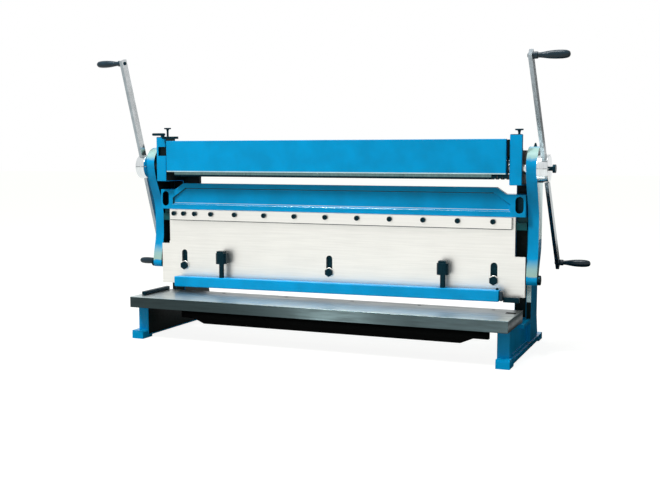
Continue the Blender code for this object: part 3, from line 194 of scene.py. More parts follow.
class MachineColours(bpy.types.PropertyGroup):
    """Colours of the machine's finishes."""
    enamel: finish_colour("Enamel", "Gloss enamel on the castings", "00A4E8")
    ground_steel: finish_colour(
        "Ground steel", "Ground faces of the blade plate, the clamp strip and the washers", "EAE9E4")
    ground_iron: finish_colour("Ground iron", "Ground top of the table, and the lower blade", "A9B1B1")
    # Painted highlight: this colour brightens edges and faces where light would catch, as bright steel and as
    # matt pale paint.
    painted_highlight_steel: finish_colour(
        "Rubbed edge", "Edges rubbed down to bare steel, and primer that shows through worn enamel", "BFD9DC")
    # Painted highlight: the pale bands that this colour lays on the links.
    enamel_with_painted_highlights: finish_colour("Faded enamel", "Pale worn bands on the links", "B9D6C6")
    oiled_steel: finish_colour("Oiled steel", "Front faces of the wide bending fingers", "718E8D")
    # Partly painted shade: besides planed iron, this colour darkens the clamp strip's lower edge and ends.
    planed_iron_and_shade: finish_colour(
        "Planed iron", "Planed edges of the table and the clamp strip, eccentrics and roll blocks", "2F3D3F")
    polished_steel: finish_colour("Polished steel", "Hubs, rolls and shaft", "D9DEE0")
    drawn_steel: finish_colour("Drawn steel", "Flat crank bars", "9AA3A8")
    # Partly painted shade: besides blackened fittings, this colour darkens the fingers' noses and the ram's
    # web and slots.
    black_oxide: finish_colour(
        "Black oxide", "Bolts, posts, screws, latch, side gauge and the noses of the fingers", "14303A")
    phenolic: finish_colour("Phenolic", "Moulded grips and the bar's end cap", "0C2836")
    # Partly painted shade: besides oiled slideways, this colour darkens inner faces, recessed ends and dark
    # blocks set in shadow.
    slideway_and_shade: finish_colour("Slideway", "Oiled slideways and inner faces", "051B1D")
    # Partly painted shade: besides the guide blocks' enamel, this colour darkens the shaded side of the ram's
    # panel.
    guide_and_shade_paint: finish_colour(
        "Guide paint", "Oil-darkened enamel on the guide blocks and the shaded side of the ram's panel",
        "04585F")
    # Partly painted shade: the rib's black paint also stands for the shade under the table.
    rib_black_and_shade: finish_colour("Rib paint", "Black paint on the rib below the table", "060809")


class MachineSizes(bpy.types.PropertyGroup):
    """Radii that the edges of the machine's pieces are rounded to."""
    casting_round: length("Casting round", "Radius on the edges of the painted castings", 3 * MM)
    plate_round: length("Plate round", "Radius on the edges of the ground plates", 0.8 * MM)
    fitting_round: length("Fitting round", "Radius on the edges of pins, bolts and blocks", 0.8 * MM)


# Materials, each named for its finish and for any light or shade painted with it

def gloss_enamel():
    """Sprayed gloss enamel on filled cast iron: saturated, with a fine orange peel and soft casting waves."""
    colour = colour_of("enamel")
    material = start_material("gloss_enamel_on_cast_iron", IOR=1.2)
    place = placed(material)
    broad = add_node(material, "ShaderNodeTexNoise", {
        "Vector": place, "Scale": 1 / (90 * MM), "Detail": 3.0}).outputs["Fac"]
    tone = add_node(material, "ShaderNodeValToRGB", {"Fac": broad},
                    ((0.35, times(colour, 0.86)), (0.62, colour)))
    gloss = add_node(material, "ShaderNodeMapRange", {"Value": broad, "To Min": 0.16, "To Max": 0.27})
    # The peel is about 2 mm from crest to crest, drawn 5 mm wide so that it shows at this distance.
    peel = add_node(material, "ShaderNodeTexNoise", {"Vector": place, "Scale": 1 / (5 * MM), "Detail": 2.0})
    waves = add_node(material, "ShaderNodeTexNoise", {"Vector": place, "Scale": 1 / (45 * MM), "Detail": 1.0})
    fine = add_node(material, "ShaderNodeBump", {
        "Height": peel.outputs["Fac"], "Strength": 0.05, "Distance": 0.2 * MM})
    relief = add_node(material, "ShaderNodeBump", {
        "Height": waves.outputs["Fac"], "Strength": 0.12, "Distance": 1 * MM,
        "Normal": fine.outputs["Normal"]})
    return end_material(material, tone, gloss, relief)


def enamel_with_painted_highlights():
    """The links' enamel with painted highlights: pale above the boss and round the crown, with soft uneven
    borders.
    """
    material = gloss_enamel()
    material.name = "rubbed_enamel_on_links"
    base = shader_of(material).inputs["Base Color"]
    place = placed(material)
    height = add_node(material, "ShaderNodeSeparateXYZ", {"Vector": place}).outputs["Z"]
    cloud = add_node(material, "ShaderNodeTexNoise", {
        "Vector": place, "Scale": 1 / (14 * MM), "Detail": 3.0}).outputs["Fac"]
    uneven = add_node(material, "ShaderNodeMath", {0: cloud, 1: 12 * MM, 2: height}, operation="MULTIPLY_ADD")
    share = add_node(material, "ShaderNodeMapRange", {
        "Value": uneven.outputs["Value"], "From Min": low("right_link", "z"),
        "From Max": high("right_link", "z")})
    # How strong the painted highlight on the enamel is at each share of the link's height
    pale = ((0.0, 0.0), (0.068, 0.0), (0.078, 0.9), (0.13, 0.7), (0.2, 0.0), (0.885, 0.0), (0.915, 0.75),
            (0.97, 0.85), (0.99, 0.1))
    # Painted highlight: how far the pale colour covers the enamel here.
    worn = add_node(material, "ShaderNodeValToRGB", {"Fac": share.outputs["Result"]},
                    [(place, grey(value)) for place, value in pale])
    mixed = add_node(material, "ShaderNodeMix", {
        0: worn.outputs["Color"], 6: base.links[0].from_socket, 7: colour_of("enamel_with_painted_highlights")},
        data_type="RGBA")
    material.node_tree.links.new(mixed.outputs[2], base)
    return material


def worked_metal(name, finish, grain, darker, rough, lift, turn=(0, 0, 0), metallic=1.0, specular=0.5,
                 blotch=0.0):
    """Metal whose tool marks run one way: grain is the size of a mark along X, Y and Z, in metres."""
    colour = colour_of(finish)
    material = start_material(name, Metallic=metallic, Specular_IOR_Level=specular)
    marks = add_node(material, "ShaderNodeTexNoise", {
        "Vector": placed(material, [1 / size for size in grain], turn), "Scale": 1.0, "Detail": 4.0,
        "Roughness": 0.6}).outputs["Fac"]
    pattern = marks
    if blotch:
        stains = add_node(material, "ShaderNodeTexNoise", {
            "Vector": placed(material), "Scale": 1 / (120 * MM), "Detail": 4.0})
        pattern = add_node(material, "ShaderNodeMix", {
            "Factor": blotch, "A": marks, "B": stains.outputs["Fac"]}, data_type="FLOAT").outputs["Result"]
    tone = add_node(material, "ShaderNodeValToRGB", {"Fac": pattern},
                    ((0.36, times(colour, darker)), (0.64, colour)))
    gloss = add_node(material, "ShaderNodeMapRange", {
        "Value": pattern, "From Min": 0.3, "From Max": 0.7, "To Min": rough[1], "To Max": rough[0]})
    relief = add_node(material, "ShaderNodeBump", {"Height": marks, "Strength": lift, "Distance": 0.2 * MM})
    return end_material(material, tone, gloss, relief)


def ground_plate_steel():
    """Surface-ground tool steel: near white, with long fine lines left by the wheel."""
    # The wheel's lines are about 0.3 mm apart and are drawn 5 mm apart, so that they show.
    return worked_metal("surface_ground_tool_steel", "ground_steel", (160 * MM, 60 * MM, 5 * MM),
                        darker=0.92, rough=(0.34, 0.46), lift=0.02, blotch=0.35)


def ground_iron():
    """Ground cast iron: duller than steel, banded lengthwise, with a painted sheen that brightens it toward
    the front edge.
    """
    material = worked_metal("ground_cast_iron", "ground_iron", (260 * MM, 9 * MM, 60 * MM), darker=0.72,
                            rough=(0.26, 0.44), lift=0.06, blotch=0.3)
    base = shader_of(material).inputs["Base Color"]
    depth = add_node(material, "ShaderNodeSeparateXYZ", {"Vector": placed(material)}).outputs["Y"]
    # Painted sheen: the iron is made brighter toward the front edge.
    rubbed = add_node(material, "ShaderNodeMapRange", {
        "Value": depth, "From Min": low("table", "y"), "From Max": high("table", "y"),
        "To Min": 1.6, "To Max": 0.75}, interpolation_type="SMOOTHSTEP")
    brighter = add_node(material, "ShaderNodeVectorMath", {
        0: base.links[0].from_socket, "Scale": rubbed.outputs["Result"]}, operation="SCALE")
    material.node_tree.links.new(brighter.outputs["Vector"], base)
    return material


def painted_highlight_steel():
    """Painted highlight: bright smooth steel with a breath of blue, laid on edges and faces where light would
    catch.
    """
    return worked_metal("rubbed_steel_edge", "painted_highlight_steel", (40 * MM, 4 * MM, 4 * MM), darker=0.82,
                        rough=(0.2, 0.34), lift=0.03)


def matt_painted_highlight():
    """Matt pale paint laid along edges as a painted highlight: chalky and matt."""
    return worked_metal("primer_at_worn_edges", "painted_highlight_steel", (30 * MM, 8 * MM, 8 * MM), darker=0.7,
                        rough=(0.5, 0.7), lift=0.03, metallic=0.0)


def oiled_steel():
    """Milled steel under a film of oil: a cool mid grey, with upright mill marks."""
    return worked_metal("oiled_milled_steel", "oiled_steel", (5 * MM, 12 * MM, 60 * MM), darker=0.7,
                        rough=(0.3, 0.44), lift=0.05, blotch=0.3)


def planed_iron_and_shade():
    """Planed cast iron with a thin film of oil: dark grey with a low sheen; also laid on as painted shade."""
    return worked_metal("planed_cast_iron", "planed_iron_and_shade", (90 * MM, 40 * MM, 6 * MM), darker=0.7,
                        rough=(0.34, 0.5), lift=0.1, metallic=0.75, blotch=0.4)


def polished_steel():
    """Turned and polished steel: bright, with faint rings round its axis."""
    return worked_metal("turned_polished_steel", "polished_steel", (3 * MM, 60 * MM, 60 * MM), darker=0.84,
                        rough=(0.1, 0.2), lift=0.03)


def drawn_steel():
    """Cold-drawn flat bar: bright grey, with long streaks from the die."""
    return worked_metal("cold_drawn_steel_bar", "drawn_steel", (9 * MM, 9 * MM, 200 * MM), darker=0.8,
                        rough=(0.16, 0.28), lift=0.03)


def black_oxide():
    """Blackened steel: a blue black, with a satin sheen and a fine even grain; also laid on as painted shade.
    """
    return worked_metal("black_oxide_steel", "black_oxide", (4 * MM, 4 * MM, 4 * MM), darker=0.6,
                        rough=(0.3, 0.42), lift=0.04)


def dark_iron_and_shade():
    """Scraped iron under thick oil: a green black with small crossing scrape marks, on the slideways and as
    painted shade on faces in shadow.
    """
    return worked_metal("oiled_scraped_iron", "slideway_and_shade", (14 * MM, 14 * MM, 7 * MM), darker=0.6,
                        rough=(0.3, 0.5), lift=0.08, turn=(0.6, 0, 0), metallic=0.0, specular=0.1)


def mottled(name, patch, tones, rough, specular, detail, grain=0.5, relief=None):
    """A paint or plastic whose tone and sheen change in patches; relief is their strength and height."""
    material = start_material(name, Specular_IOR_Level=specular)
    patches = add_node(material, "ShaderNodeTexNoise", {
        "Vector": placed(material), "Scale": 1 / patch, "Detail": detail, "Roughness": grain}).outputs["Fac"]
    tone = add_node(material, "ShaderNodeValToRGB", {"Fac": patches}, tones)
    gloss = add_node(material, "ShaderNodeMapRange", {
        "Value": patches, "To Min": rough[0], "To Max": rough[1]})
    if relief:
        relief = add_node(material, "ShaderNodeBump", {
            "Height": patches, "Strength": relief[0], "Distance": relief[1]})
    return end_material(material, tone, gloss, relief)


def dark_enamel_and_shade():
    """Deep green-blue enamel with a soft sheen: the guide blocks' paint, and painted shade on the shaded side
    of the ram's panel.
    """
    colour = colour_of("guide_and_shade_paint")
    return mottled("oil_darkened_enamel", 15 * MM, ((0.35, times(colour, 0.6)), (0.65, colour)),
                   rough=(0.25, 0.5), specular=0.2, detail=4.0)


def rib_black_and_shade():
    """Thin black paint on raw sand casting, matt and finely pitted, and dark enough to carry painted shade
    too.
    """
    colour = colour_of("rib_black_and_shade")
    return mottled("black_paint_on_sand_casting", 4 * MM, ((0.4, colour), (0.75, times(colour, 1.8))),
                   rough=(0.4, 0.75), specular=0.08, detail=5.0, grain=0.7, relief=(0.35, 0.5 * MM))


def phenolic():
    """Moulded black phenolic: smooth and glossy, with a faint mottle in the polish."""
    colour = colour_of("phenolic")
    return mottled("moulded_black_phenolic", 12 * MM, ((0.4, colour), (0.7, times(colour, 1.5))),
                   rough=(0.14, 0.26), specular=0.3, detail=3.0, relief=(0.04, 0.3 * MM))


MADE = {}


def finish_of(make):
    """The one material that a maker function gives, made at its first use."""
    if make.__name__ not in MADE:
        MADE[make.__name__] = make()
    return MADE[make.__name__]


# Mesh helpers

def new_object(name, data):
    """An object that is already in the scene."""
    item = bpy.data.objects.new(name, data)
    bpy.context.scene.collection.objects.link(item)
    return item


def merged_copy(node):
    """A merged copy of a CAD node as a bmesh, with flat faces dissolved into single ones."""
    shape = bmesh.new()
    shape.from_mesh(frame["nodes"][node].data)
    bmesh.ops.remove_doubles(shape, verts=shape.verts, dist=0.02 * MM)
    bmesh.ops.dissolve_limit(shape, angle_limit=math.radians(1), use_dissolve_boundaries=False,
                             verts=shape.verts, edges=shape.edges)
    return shape


def sharp_edges(shape, angle):
    return [edge for edge in shape.edges
            if len(edge.link_faces) == 2 and edge.calc_face_angle(0) > math.radians(angle)]


def edges_at(shape, test):
    """The sharp edges whose ends both pass a test on their place."""
    return [edge for edge in sharp_edges(shape, 40) if all(test(end.co) for end in edge.verts)]


def soften(shape, radius, steps, edges=None):
    """Rounds the given edges, or every edge sharper than 30 degrees."""
    chosen = sharp_edges(shape, 30) if edges is None else edges
    bmesh.ops.bevel(shape, geom=chosen, offset=radius, offset_type="OFFSET", segments=steps, profile=0.5,
                    affect="EDGES", clamp_overlap=True, material=-1)


def block(shape, corner_low, corner_high):
    """Adds a box between two corners."""
    size = [top - bottom for bottom, top in zip(corner_low, corner_high)]
    centre = [(top + bottom) / 2 for bottom, top in zip(corner_low, corner_high)]
    bmesh.ops.create_cube(shape, size=1, matrix=Matrix.Translation(centre) @ Matrix.Diagonal((*size, 1)))


def mm(*points):
    """Points given in millimetres, in metres."""
    return tuple(tuple(value * MM for value in point) for point in points)


def turned(shape, outline, axis, centre, sides):
    """Spins an outline of (place along the axis, radius) points into a closed solid round the axis."""
    along = Vector([float(axis == name) for name in "XYZ"])
    across = Vector((0, 0, 1)) if axis != "Z" else Vector((1, 0, 0))
    centre = Vector(centre)
    points = [shape.verts.new(centre + along * place + across * radius) for place, radius in outline]
    lines = [shape.edges.new(pair) for pair in zip(points, points[1:])]
    bmesh.ops.spin(shape, geom=points + lines, cent=centre, axis=along, angle=math.tau, steps=sides,
                   use_merge=True, use_duplicate=False)
    bmesh.ops.remove_doubles(shape, verts=shape.verts, dist=0.005 * MM)
    bmesh.ops.recalc_face_normals(shape, faces=shape.faces)


def hexagon(shape, base, corner_radius, start, end):
    """A hexagon head that points to the front, with its corners turned off to a chamfer."""
    place = (Matrix.Translation(base) @ Matrix.Rotation(math.pi / 2, 4, "X")
             @ Matrix.Translation((0, 0, (start + end) / 2)))
    made = bmesh.ops.create_cone(shape, cap_ends=True, segments=6, radius1=corner_radius,
                                 radius2=corner_radius, depth=end - start, matrix=place)["verts"]
    front = min(vertex.co.y for vertex in made)
    rim = {edge for vertex in made for edge in vertex.link_edges
           if all(abs(corner.co.y - front) < 0.01 * MM for corner in edge.verts)}
    soften(shape, 1.6 * MM, 2, list(rim))


def cut_across(shape, point, along, **options):
    """Cuts every face where it crosses the plane through a point that faces along a direction."""
    bmesh.ops.bisect_plane(shape, geom=shape.verts[:] + shape.edges[:] + shape.faces[:], dist=0.001 * MM,
                           plane_co=point, plane_no=along, **options)


def split(shape, axis, *places):
    """Parts the faces at places along an axis, so that a finish can end there."""
    along = Vector([float(axis == name) for name in "xyz"])
    for place in places:
        cut_across(shape, along * place, along)


def close_holes(shape):
    bmesh.ops.holes_fill(shape, edges=[edge for edge in shape.edges if edge.is_boundary], sides=0)


def to_mesh(name, shape):
    mesh = bpy.data.meshes.new(name)
    shape.to_mesh(mesh)
    shape.free()
    return mesh


def join(shape, other):
    """Adds another bmesh to a bmesh."""
    mesh = to_mesh("joined", other)
    shape.from_mesh(mesh)
    bpy.data.meshes.remove(mesh)


def cut_out(shape, cutter):
    """Cuts one bmesh out of another and returns what is left as a new bmesh."""
    target = new_object("target", to_mesh("target", shape))
    tool = new_object("tool", to_mesh("tool", cutter))
    modifier = target.modifiers.new("cut", "BOOLEAN")
    modifier.operation = "DIFFERENCE"
    modifier.solver = "EXACT"
    modifier.object = tool
    modifier.use_self = True
    graph = bpy.context.evaluated_depsgraph_get()
    result = bmesh.new()
    result.from_mesh(target.evaluated_get(graph).to_mesh())
    for item in (target, tool):
        mesh = item.data
        bpy.data.objects.remove(item)
        bpy.data.meshes.remove(mesh)
    bmesh.ops.remove_doubles(result, verts=result.verts, dist=0.01 * MM)
    return result


# Pieces, each from its shape and its finishes

def dress(name, shape, body, finishes, replaces=(), smooth=32, paint=None):
    """Turns a bmesh into a piece: its finishes, its smooth shading, its body and the nodes it stands for."""
    if paint:
        for face in shape.faces:
            face.material_index = paint(face)
    mesh = to_mesh(name, shape)
    for make in finishes:
        mesh.materials.append(finish_of(make))
    mesh.shade_smooth()
    mesh.set_sharp_from_angle(angle=math.radians(smooth))
    piece = new_object(name, mesh)
    even = piece.modifiers.new("even shading", "WEIGHTED_NORMAL")
    even.keep_sharp = True
    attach(piece, body)
    if replaces:
        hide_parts(*replaces)


def dress_black(name, shape, body, replaces=()):
    """Makes a bmesh a fitting of blackened steel."""
    dress(name, shape, body, (black_oxide,), replaces)


def dress_block(name, corners, radius, steps, body, make):
    """A box between two corners, with rounded edges and one dark finish."""
    shape = bmesh.new()
    block(shape, *corners)
    soften(shape, radius, steps)
    dress(name, shape, body, (make,))


def dress_node(node, finishes, radius=0.0, steps=2, angle=40, shortest=0.0, smooth=32, paint=None,
               adjust=None):
    """A copy of a CAD node, with its finishes and its long sharp edges rounded, stands for the node."""
    shape = merged_copy(node)
    if adjust:
        shape = adjust(shape) or shape
    if radius:
        long_edges = [edge for edge in sharp_edges(shape, angle) if edge.calc_length() >= shortest]
        soften(shape, radius, steps, long_edges)
    dress(node + "_piece", shape, body_of(node), finishes, (node,), smooth, paint)


class PieceOperator(bpy.types.Operator):
    """Shared settings of the operators."""
    bl_options = {"REGISTER", "UNDO"}


class MACHINE_OT_stage(PieceOperator):
    """Makes the pale floor, the white surroundings, the soft lamps, the black flags and the camera"""
    bl_idname = "machine.stage"
    bl_label = "Stage"

    def execute(self, context):
        scene = context.scene
        scene.view_settings.view_transform = "Standard"
        self.make_floor()
        self.make_surroundings(scene)
        self.make_lamp("key lamp", place=(-1.5, -2.4, 4.1), aim=(0, 0, 0.45), size=1.0, power=152,
                       colour=(1.0, 0.99, 0.97))
        self.make_lamp("top lamp", place=(0.2, -0.7, 3.8), aim=(0, 0, 0.5), size=1.4, power=52,
                       colour=(0.97, 0.99, 1.0))
        self.make_flag("side flag", (2.1, 0.5, 1.2), (4.6, 2.6), (90, 0, 90))
        self.make_flag("rear flag", (1.36, 4.0, 1.775), (0.9, 2.05), (90, 0, 0), mirrored=True)
        self.make_flag("floor flag", (1.5, 1.9, 0.002), (1.6, 4.6), (0, 0, 0), mirrored=True)
        # Painted shade: metal mirrors the under flag as the shaded floor beneath the machine.
        self.make_flag("under flag", (-0.1, 0.05, 0.001), (1.6, 0.8), (0, 0, 0), mirrored=True)
        self.make_camera(scene)
        return {"FINISHED"}

    def seen_directly(self, material):
        """One for camera, mirrored and transmitted rays, so that metal and glass show the white too."""
        path = add_node(material, "ShaderNodeLightPath").outputs
        either = add_node(material, "ShaderNodeMath", {
            0: path["Is Camera Ray"], 1: path["Is Glossy Ray"]}, operation="MAXIMUM")
        return add_node(material, "ShaderNodeMath", {
            0: either.outputs["Value"], 1: path["Is Transmission Ray"]}, operation="MAXIMUM").outputs["Value"]

    def bare_material(self, name):
        """A material without its usual nodes."""
        material = bpy.data.materials.new(name)
        material.use_nodes = True
        material.node_tree.nodes.clear()
        return material

    def make_card(self, name, place, size, turn, material, share, first, second):
        """A flat card of the stage that shows its second surface to the share of rays, else its first."""
        surface = add_node(material, "ShaderNodeMixShader", {"Fac": share, 1: first, 2: second})
        add_node(material, "ShaderNodeOutputMaterial", {"Surface": surface.outputs["Shader"]})
        shape = bmesh.new()
        turned_to = Euler([math.radians(angle) for angle in turn]).to_matrix().to_4x4()
        bmesh.ops.create_grid(
            shape, x_segments=1, y_segments=1, size=1, matrix=Matrix.Translation(place) @ turned_to
            @ Matrix.Diagonal((size[0] / 2, size[1] / 2, 1, 1)))
        mesh = to_mesh(name, shape)
        mesh.materials.append(material)
        card = new_object(name, mesh)

    def make_floor(self):
        """A floor that the camera and the metal see as white, and that keeps the machine's shadow."""
        material = self.bare_material("pale_studio_floor")
        matt = add_node(material, "ShaderNodeBsdfDiffuse", {"Color": grey(0.35)})
        pale = add_node(material, "ShaderNodeBsdfDiffuse", {"Color": grey(0.26)})
        glow = add_node(material, "ShaderNodeEmission", {"Color": grey(1.0), "Strength": 0.9})
        both = add_node(material, "ShaderNodeAddShader", {
            0: pale.outputs["BSDF"], 1: glow.outputs["Emission"]})
        self.make_card("floor", (0, 0, 0), (60, 60), (0, 0, 0), material, self.seen_directly(material),
                       matt.outputs["BSDF"], both.outputs["Shader"])

    def make_flag(self, name, place, size, turn, mirrored=False):
        """A black flag unseen by the camera, which shades the machine or only darkens what metal mirrors."""
        material = self.bare_material("black_felt_" + name.replace(" ", "_"))
        felt = add_node(material, "ShaderNodeBsdfDiffuse", {"Color": grey(0.02)}).outputs["BSDF"]
        clear = add_node(material, "ShaderNodeBsdfTransparent").outputs["BSDF"]
        if mirrored:
            share = add_node(material, "ShaderNodeLightPath").outputs["Is Glossy Ray"]
            self.make_card(name, place, size, turn, material, share, clear, felt)
        else:
            self.make_card(name, place, size, turn, material, self.seen_directly(material), felt, clear)

    def make_surroundings(self, scene):
        """White where the camera and the metal look, and a soft warm grey as light."""
        world = bpy.data.worlds.new("white studio")
        world.use_nodes = True
        world.node_tree.nodes.clear()
        scene.world = world
        soft = add_node(world, "ShaderNodeBackground", {"Color": srgb("EEF8DC"), "Strength": 0.42})
        white = add_node(world, "ShaderNodeBackground", {"Color": grey(1.0), "Strength": 1.0})
        surface = add_node(world, "ShaderNodeMixShader", {
            "Fac": self.seen_directly(world), 1: soft.outputs["Background"], 2: white.outputs["Background"]})
        add_node(world, "ShaderNodeOutputWorld", {"Surface": surface.outputs["Shader"]})

    def make_lamp(self, name, place, aim, size, power, colour):
        data = bpy.data.lights.new(name, "AREA")
        data.shape = "DISK"
        data.size = size
        data.energy = power
        data.color = colour
        lamp = new_object(name, data)
        lamp.location = place
        lamp.rotation_euler = (Vector(aim) - Vector(place)).to_track_quat("-Z", "Y").to_euler()

    def make_camera(self, scene):
        """The camera as it was solved from the edges of the machine in the photograph."""
        down, heading = 5.7024, 22.375
        data = bpy.data.cameras.new("camera")
        data.sensor_width = 36
        data.lens = 52.45
        camera = new_object("camera", data)
        camera.location = (1.3310, low("table", "y") - 2.9961, 0.6847)
        camera.rotation_euler = (math.radians(90 - down), 0, math.radians(heading))
        scene.camera = camera


class MACHINE_OT_side_frames(PieceOperator):
    """Dresses the two cast side frames with their feet and oiled slideways, painted shade on their inner
    faces and, on the right one, painted highlights
    """
    bl_idname = "machine.side_frames"
    bl_label = "Side frames"

    def execute(self, context):
        for name, side in SIDES.items():
            self.make_frame(name + "_side_frame", side, context.scene.machine_sizes)
        return {"FINISHED"}

    def make_frame(self, node, side, sizes):
        column_front = high("ram_beam", "y") + 0.5 * MM
        column_low = 118 * MM
        head_rear = low("upper_cross_rail", "y") + 30 * MM
        shoulder = HEAD_LOW + 115 * MM
        arch_front, arch_rear = low(node, "y") + 64 * MM, high(node, "y") - 62 * MM
        # Heights of the painted reflection on the right cheek's front
        highlight_low, highlight_high = 176 * MM, 246 * MM
        edge_highlight_top = high("hold_down_bar", "z") + 16 * MM
        # The finishes: enamel; oiled iron, also as painted shade; bright steel as painted highlight; matt
        # pale paint as painted highlight
        enamel, oiled, rubbed, primer = range(4)

        def adjust(shape):
            """Clears the back of the head, arches the foot, and parts faces where a finish ends."""
            clear = bmesh.new()
            block(clear, (-1, head_rear, shoulder), (1, high(node, "y"), high(node, "z") + 5 * MM))
            block(clear, (-1, arch_front, -5 * MM), (1, arch_rear, 8 * MM))
            shape = cut_out(shape, clear)
            split(shape, "x", side * FRAME_OUTER)
            split(shape, "z", highlight_low, highlight_high)
            return shape

        def paint(face):
            """Painted shade on guide, inner, thrust and pocket faces; at the right also a painted reflection
            on the cheek and painted highlights on two edges.
            """
            x, y, z = face.calc_center_median()
            across, off_front, outward = abs(x), abs(y - column_front), face.normal.x * side
            front = face.normal.y < -0.9 and off_front < 2 * MM and z > column_low
            if front and across > FRAME_OUTER:
                return rubbed if side > 0 and highlight_low < z < highlight_high else oiled
            edge = (abs(across - CHEEK_OUTER) < 2.5 * MM and off_front < 2.5 * MM
                    and column_low < z < edge_highlight_top)
            rim = z < 45 * MM and 0.3 < face.normal.x < 0.95 and face.normal.z > 0.25
            if side > 0 and (edge or rim):
                return primer
            # Painted shade on the inner faces, on the head's thrust face and in its pocket.
            inner = outward < -0.9 and z > 40 * MM
            thrust = outward > 0.9 and z > HEAD_LOW and across > FRAME_OUTER - 8 * MM
            pocket = (FRAME_INNER + 0.5 * MM < across < FRAME_OUTER - 3 * MM and abs(face.normal.x) < 0.3
                      and z > HEAD_LOW + 5 * MM and face.calc_area() < 1.2e-3 and face.normal.z < 0.9)
            return oiled if inner or front or thrust or pocket else enamel

        dress_node(node, (gloss_enamel, dark_iron_and_shade, painted_highlight_steel, matt_painted_highlight), sizes.casting_round / 2,
                   2, 40, 14 * MM, paint=paint, adjust=adjust)


class MACHINE_OT_table(PieceOperator):
    """Dresses the ground table, its black rib with painted shade, the lower blade and the side gauge"""
    bl_idname = "machine.table"
    bl_label = "Table"

    def execute(self, context):
        sizes = context.scene.machine_sizes
        top, front = high("table", "z"), low("table", "y")
        plate_low = top - 40.2 * MM
        # The finishes: ground iron; planed iron; black paint that is also painted shade; bright steel as a
        # painted highlight
        ground, planed, black, rubbed = range(4)

        def adjust(shape):
            """Cuts the slot for an end stop and rounds the long front edge more than the others."""
            slot = bmesh.new()
            block(slot, (666 * MM, -104 * MM, top - 12 * MM), (701 * MM, -75 * MM, top + MM))
            shape = cut_out(shape, slot)
            edges = edges_at(shape, lambda place: place.z > top - MM and place.y < front + MM)
            soften(shape, 2.4 * MM, 3, [edge for edge in edges if edge.calc_length() > 1])
            return shape

        def paint(face):
            """Black paint with painted shade on the rib, painted shade in the slot, a painted highlight on
            the front edge, ground top and planed sides.
            """
            x, y, z = face.calc_center_median()
            slot = 660 * MM < x < 705 * MM and -106 * MM < y < -73 * MM and top - 13 * MM < z < top - MM
            if z < plate_low:
                return black
            if face.normal.y < -0.3 and face.normal.z > 0.2:
                return rubbed
            if slot:
                return black
            return ground if face.normal.z > 0.5 else planed

        dress_node("table", (ground_iron, planed_iron_and_shade, rib_black_and_shade, painted_highlight_steel), sizes.plate_round, 2, 40,
                   4 * MM, paint=paint, adjust=adjust)
        outline = mm((-3, 0), (-3, 7), (0.4, 7), (0.4, 3.4), (-2, 3), (-2, 0))
        for number, x in enumerate((-427, -165, 97, 350, 613), 1):
            screw = bmesh.new()
            turned(screw, outline, "Z", (x * MM, low("lower_blade", "y") - 8 * MM, top), 24)
            dress_black(f"blade_screw_{number}", screw, "stand")
        dress_node("lower_blade", (ground_iron,), sizes.plate_round / 2, 2)
        dress_node("side_gauge", (black_oxide,), sizes.plate_round, 2, 40, 6 * MM)
        return {"FINISHED"}


class MACHINE_OT_brake(PieceOperator):
    """Dresses the brake beam and the row of bending fingers under it"""
    bl_idname = "machine.brake"
    bl_label = "Brake beam and fingers"

    def execute(self, context):
        self.make_beam(context.scene.machine_sizes)
        nose_top = low("finger_1", "z") + 9 * MM
        for node in sorted(node for node in frame["nodes"] if node.startswith("finger_")):
            self.make_finger(node, nose_top)
        return {"FINISHED"}

    def make_beam(self, sizes):
        band_high = low("brake_beam", "z") + 4.4 * MM
        front, end = low("brake_beam", "y"), high("brake_beam", "x")
        # The finishes: enamel; bright steel as a painted highlight; oiled iron as painted shade
        enamel, rubbed, oiled = range(3)

        def adjust(shape):
            split(shape, "z", band_high)

        def paint(face):
            """A painted highlight band along the lower front edge, and painted shade on the recessed ends."""
            x, y, z = face.calc_center_median()
            if y > front + 12 * MM and abs(x) > end - 24 * MM:
                return oiled
            return rubbed if z < band_high and y < front + 6 * MM else enamel

        dress_node("brake_beam", (gloss_enamel, painted_highlight_steel, dark_iron_and_shade), sizes.casting_round / 2, 3, 40,
                   6 * MM, paint=paint, adjust=adjust)

    def make_finger(self, node, nose_top):
        narrow = high(node, "x") - low(node, "x") < 30 * MM

        def adjust(shape):
            """Parts the nose from the front, and draws a narrow finger in to a tooth."""
            split(shape, "z", nose_top)
            if narrow:
                split(shape, "z", nose_top + 12 * MM)
                for vertex in shape.verts:
                    if vertex.co.z < nose_top + MM:
                        vertex.co.x += 0.3 * (middle(node, "x") - vertex.co.x)

        def paint(face):
            """Painted shade: the black second finish on the nose and on faces turned down."""
            return int(face.normal.z < -0.3 or face.calc_center_median().z < nose_top)

        dress_node(node, (black_oxide if narrow else oiled_steel, black_oxide), 0.6 * MM, 2, 30, 3 * MM,
                   paint=paint, adjust=adjust)


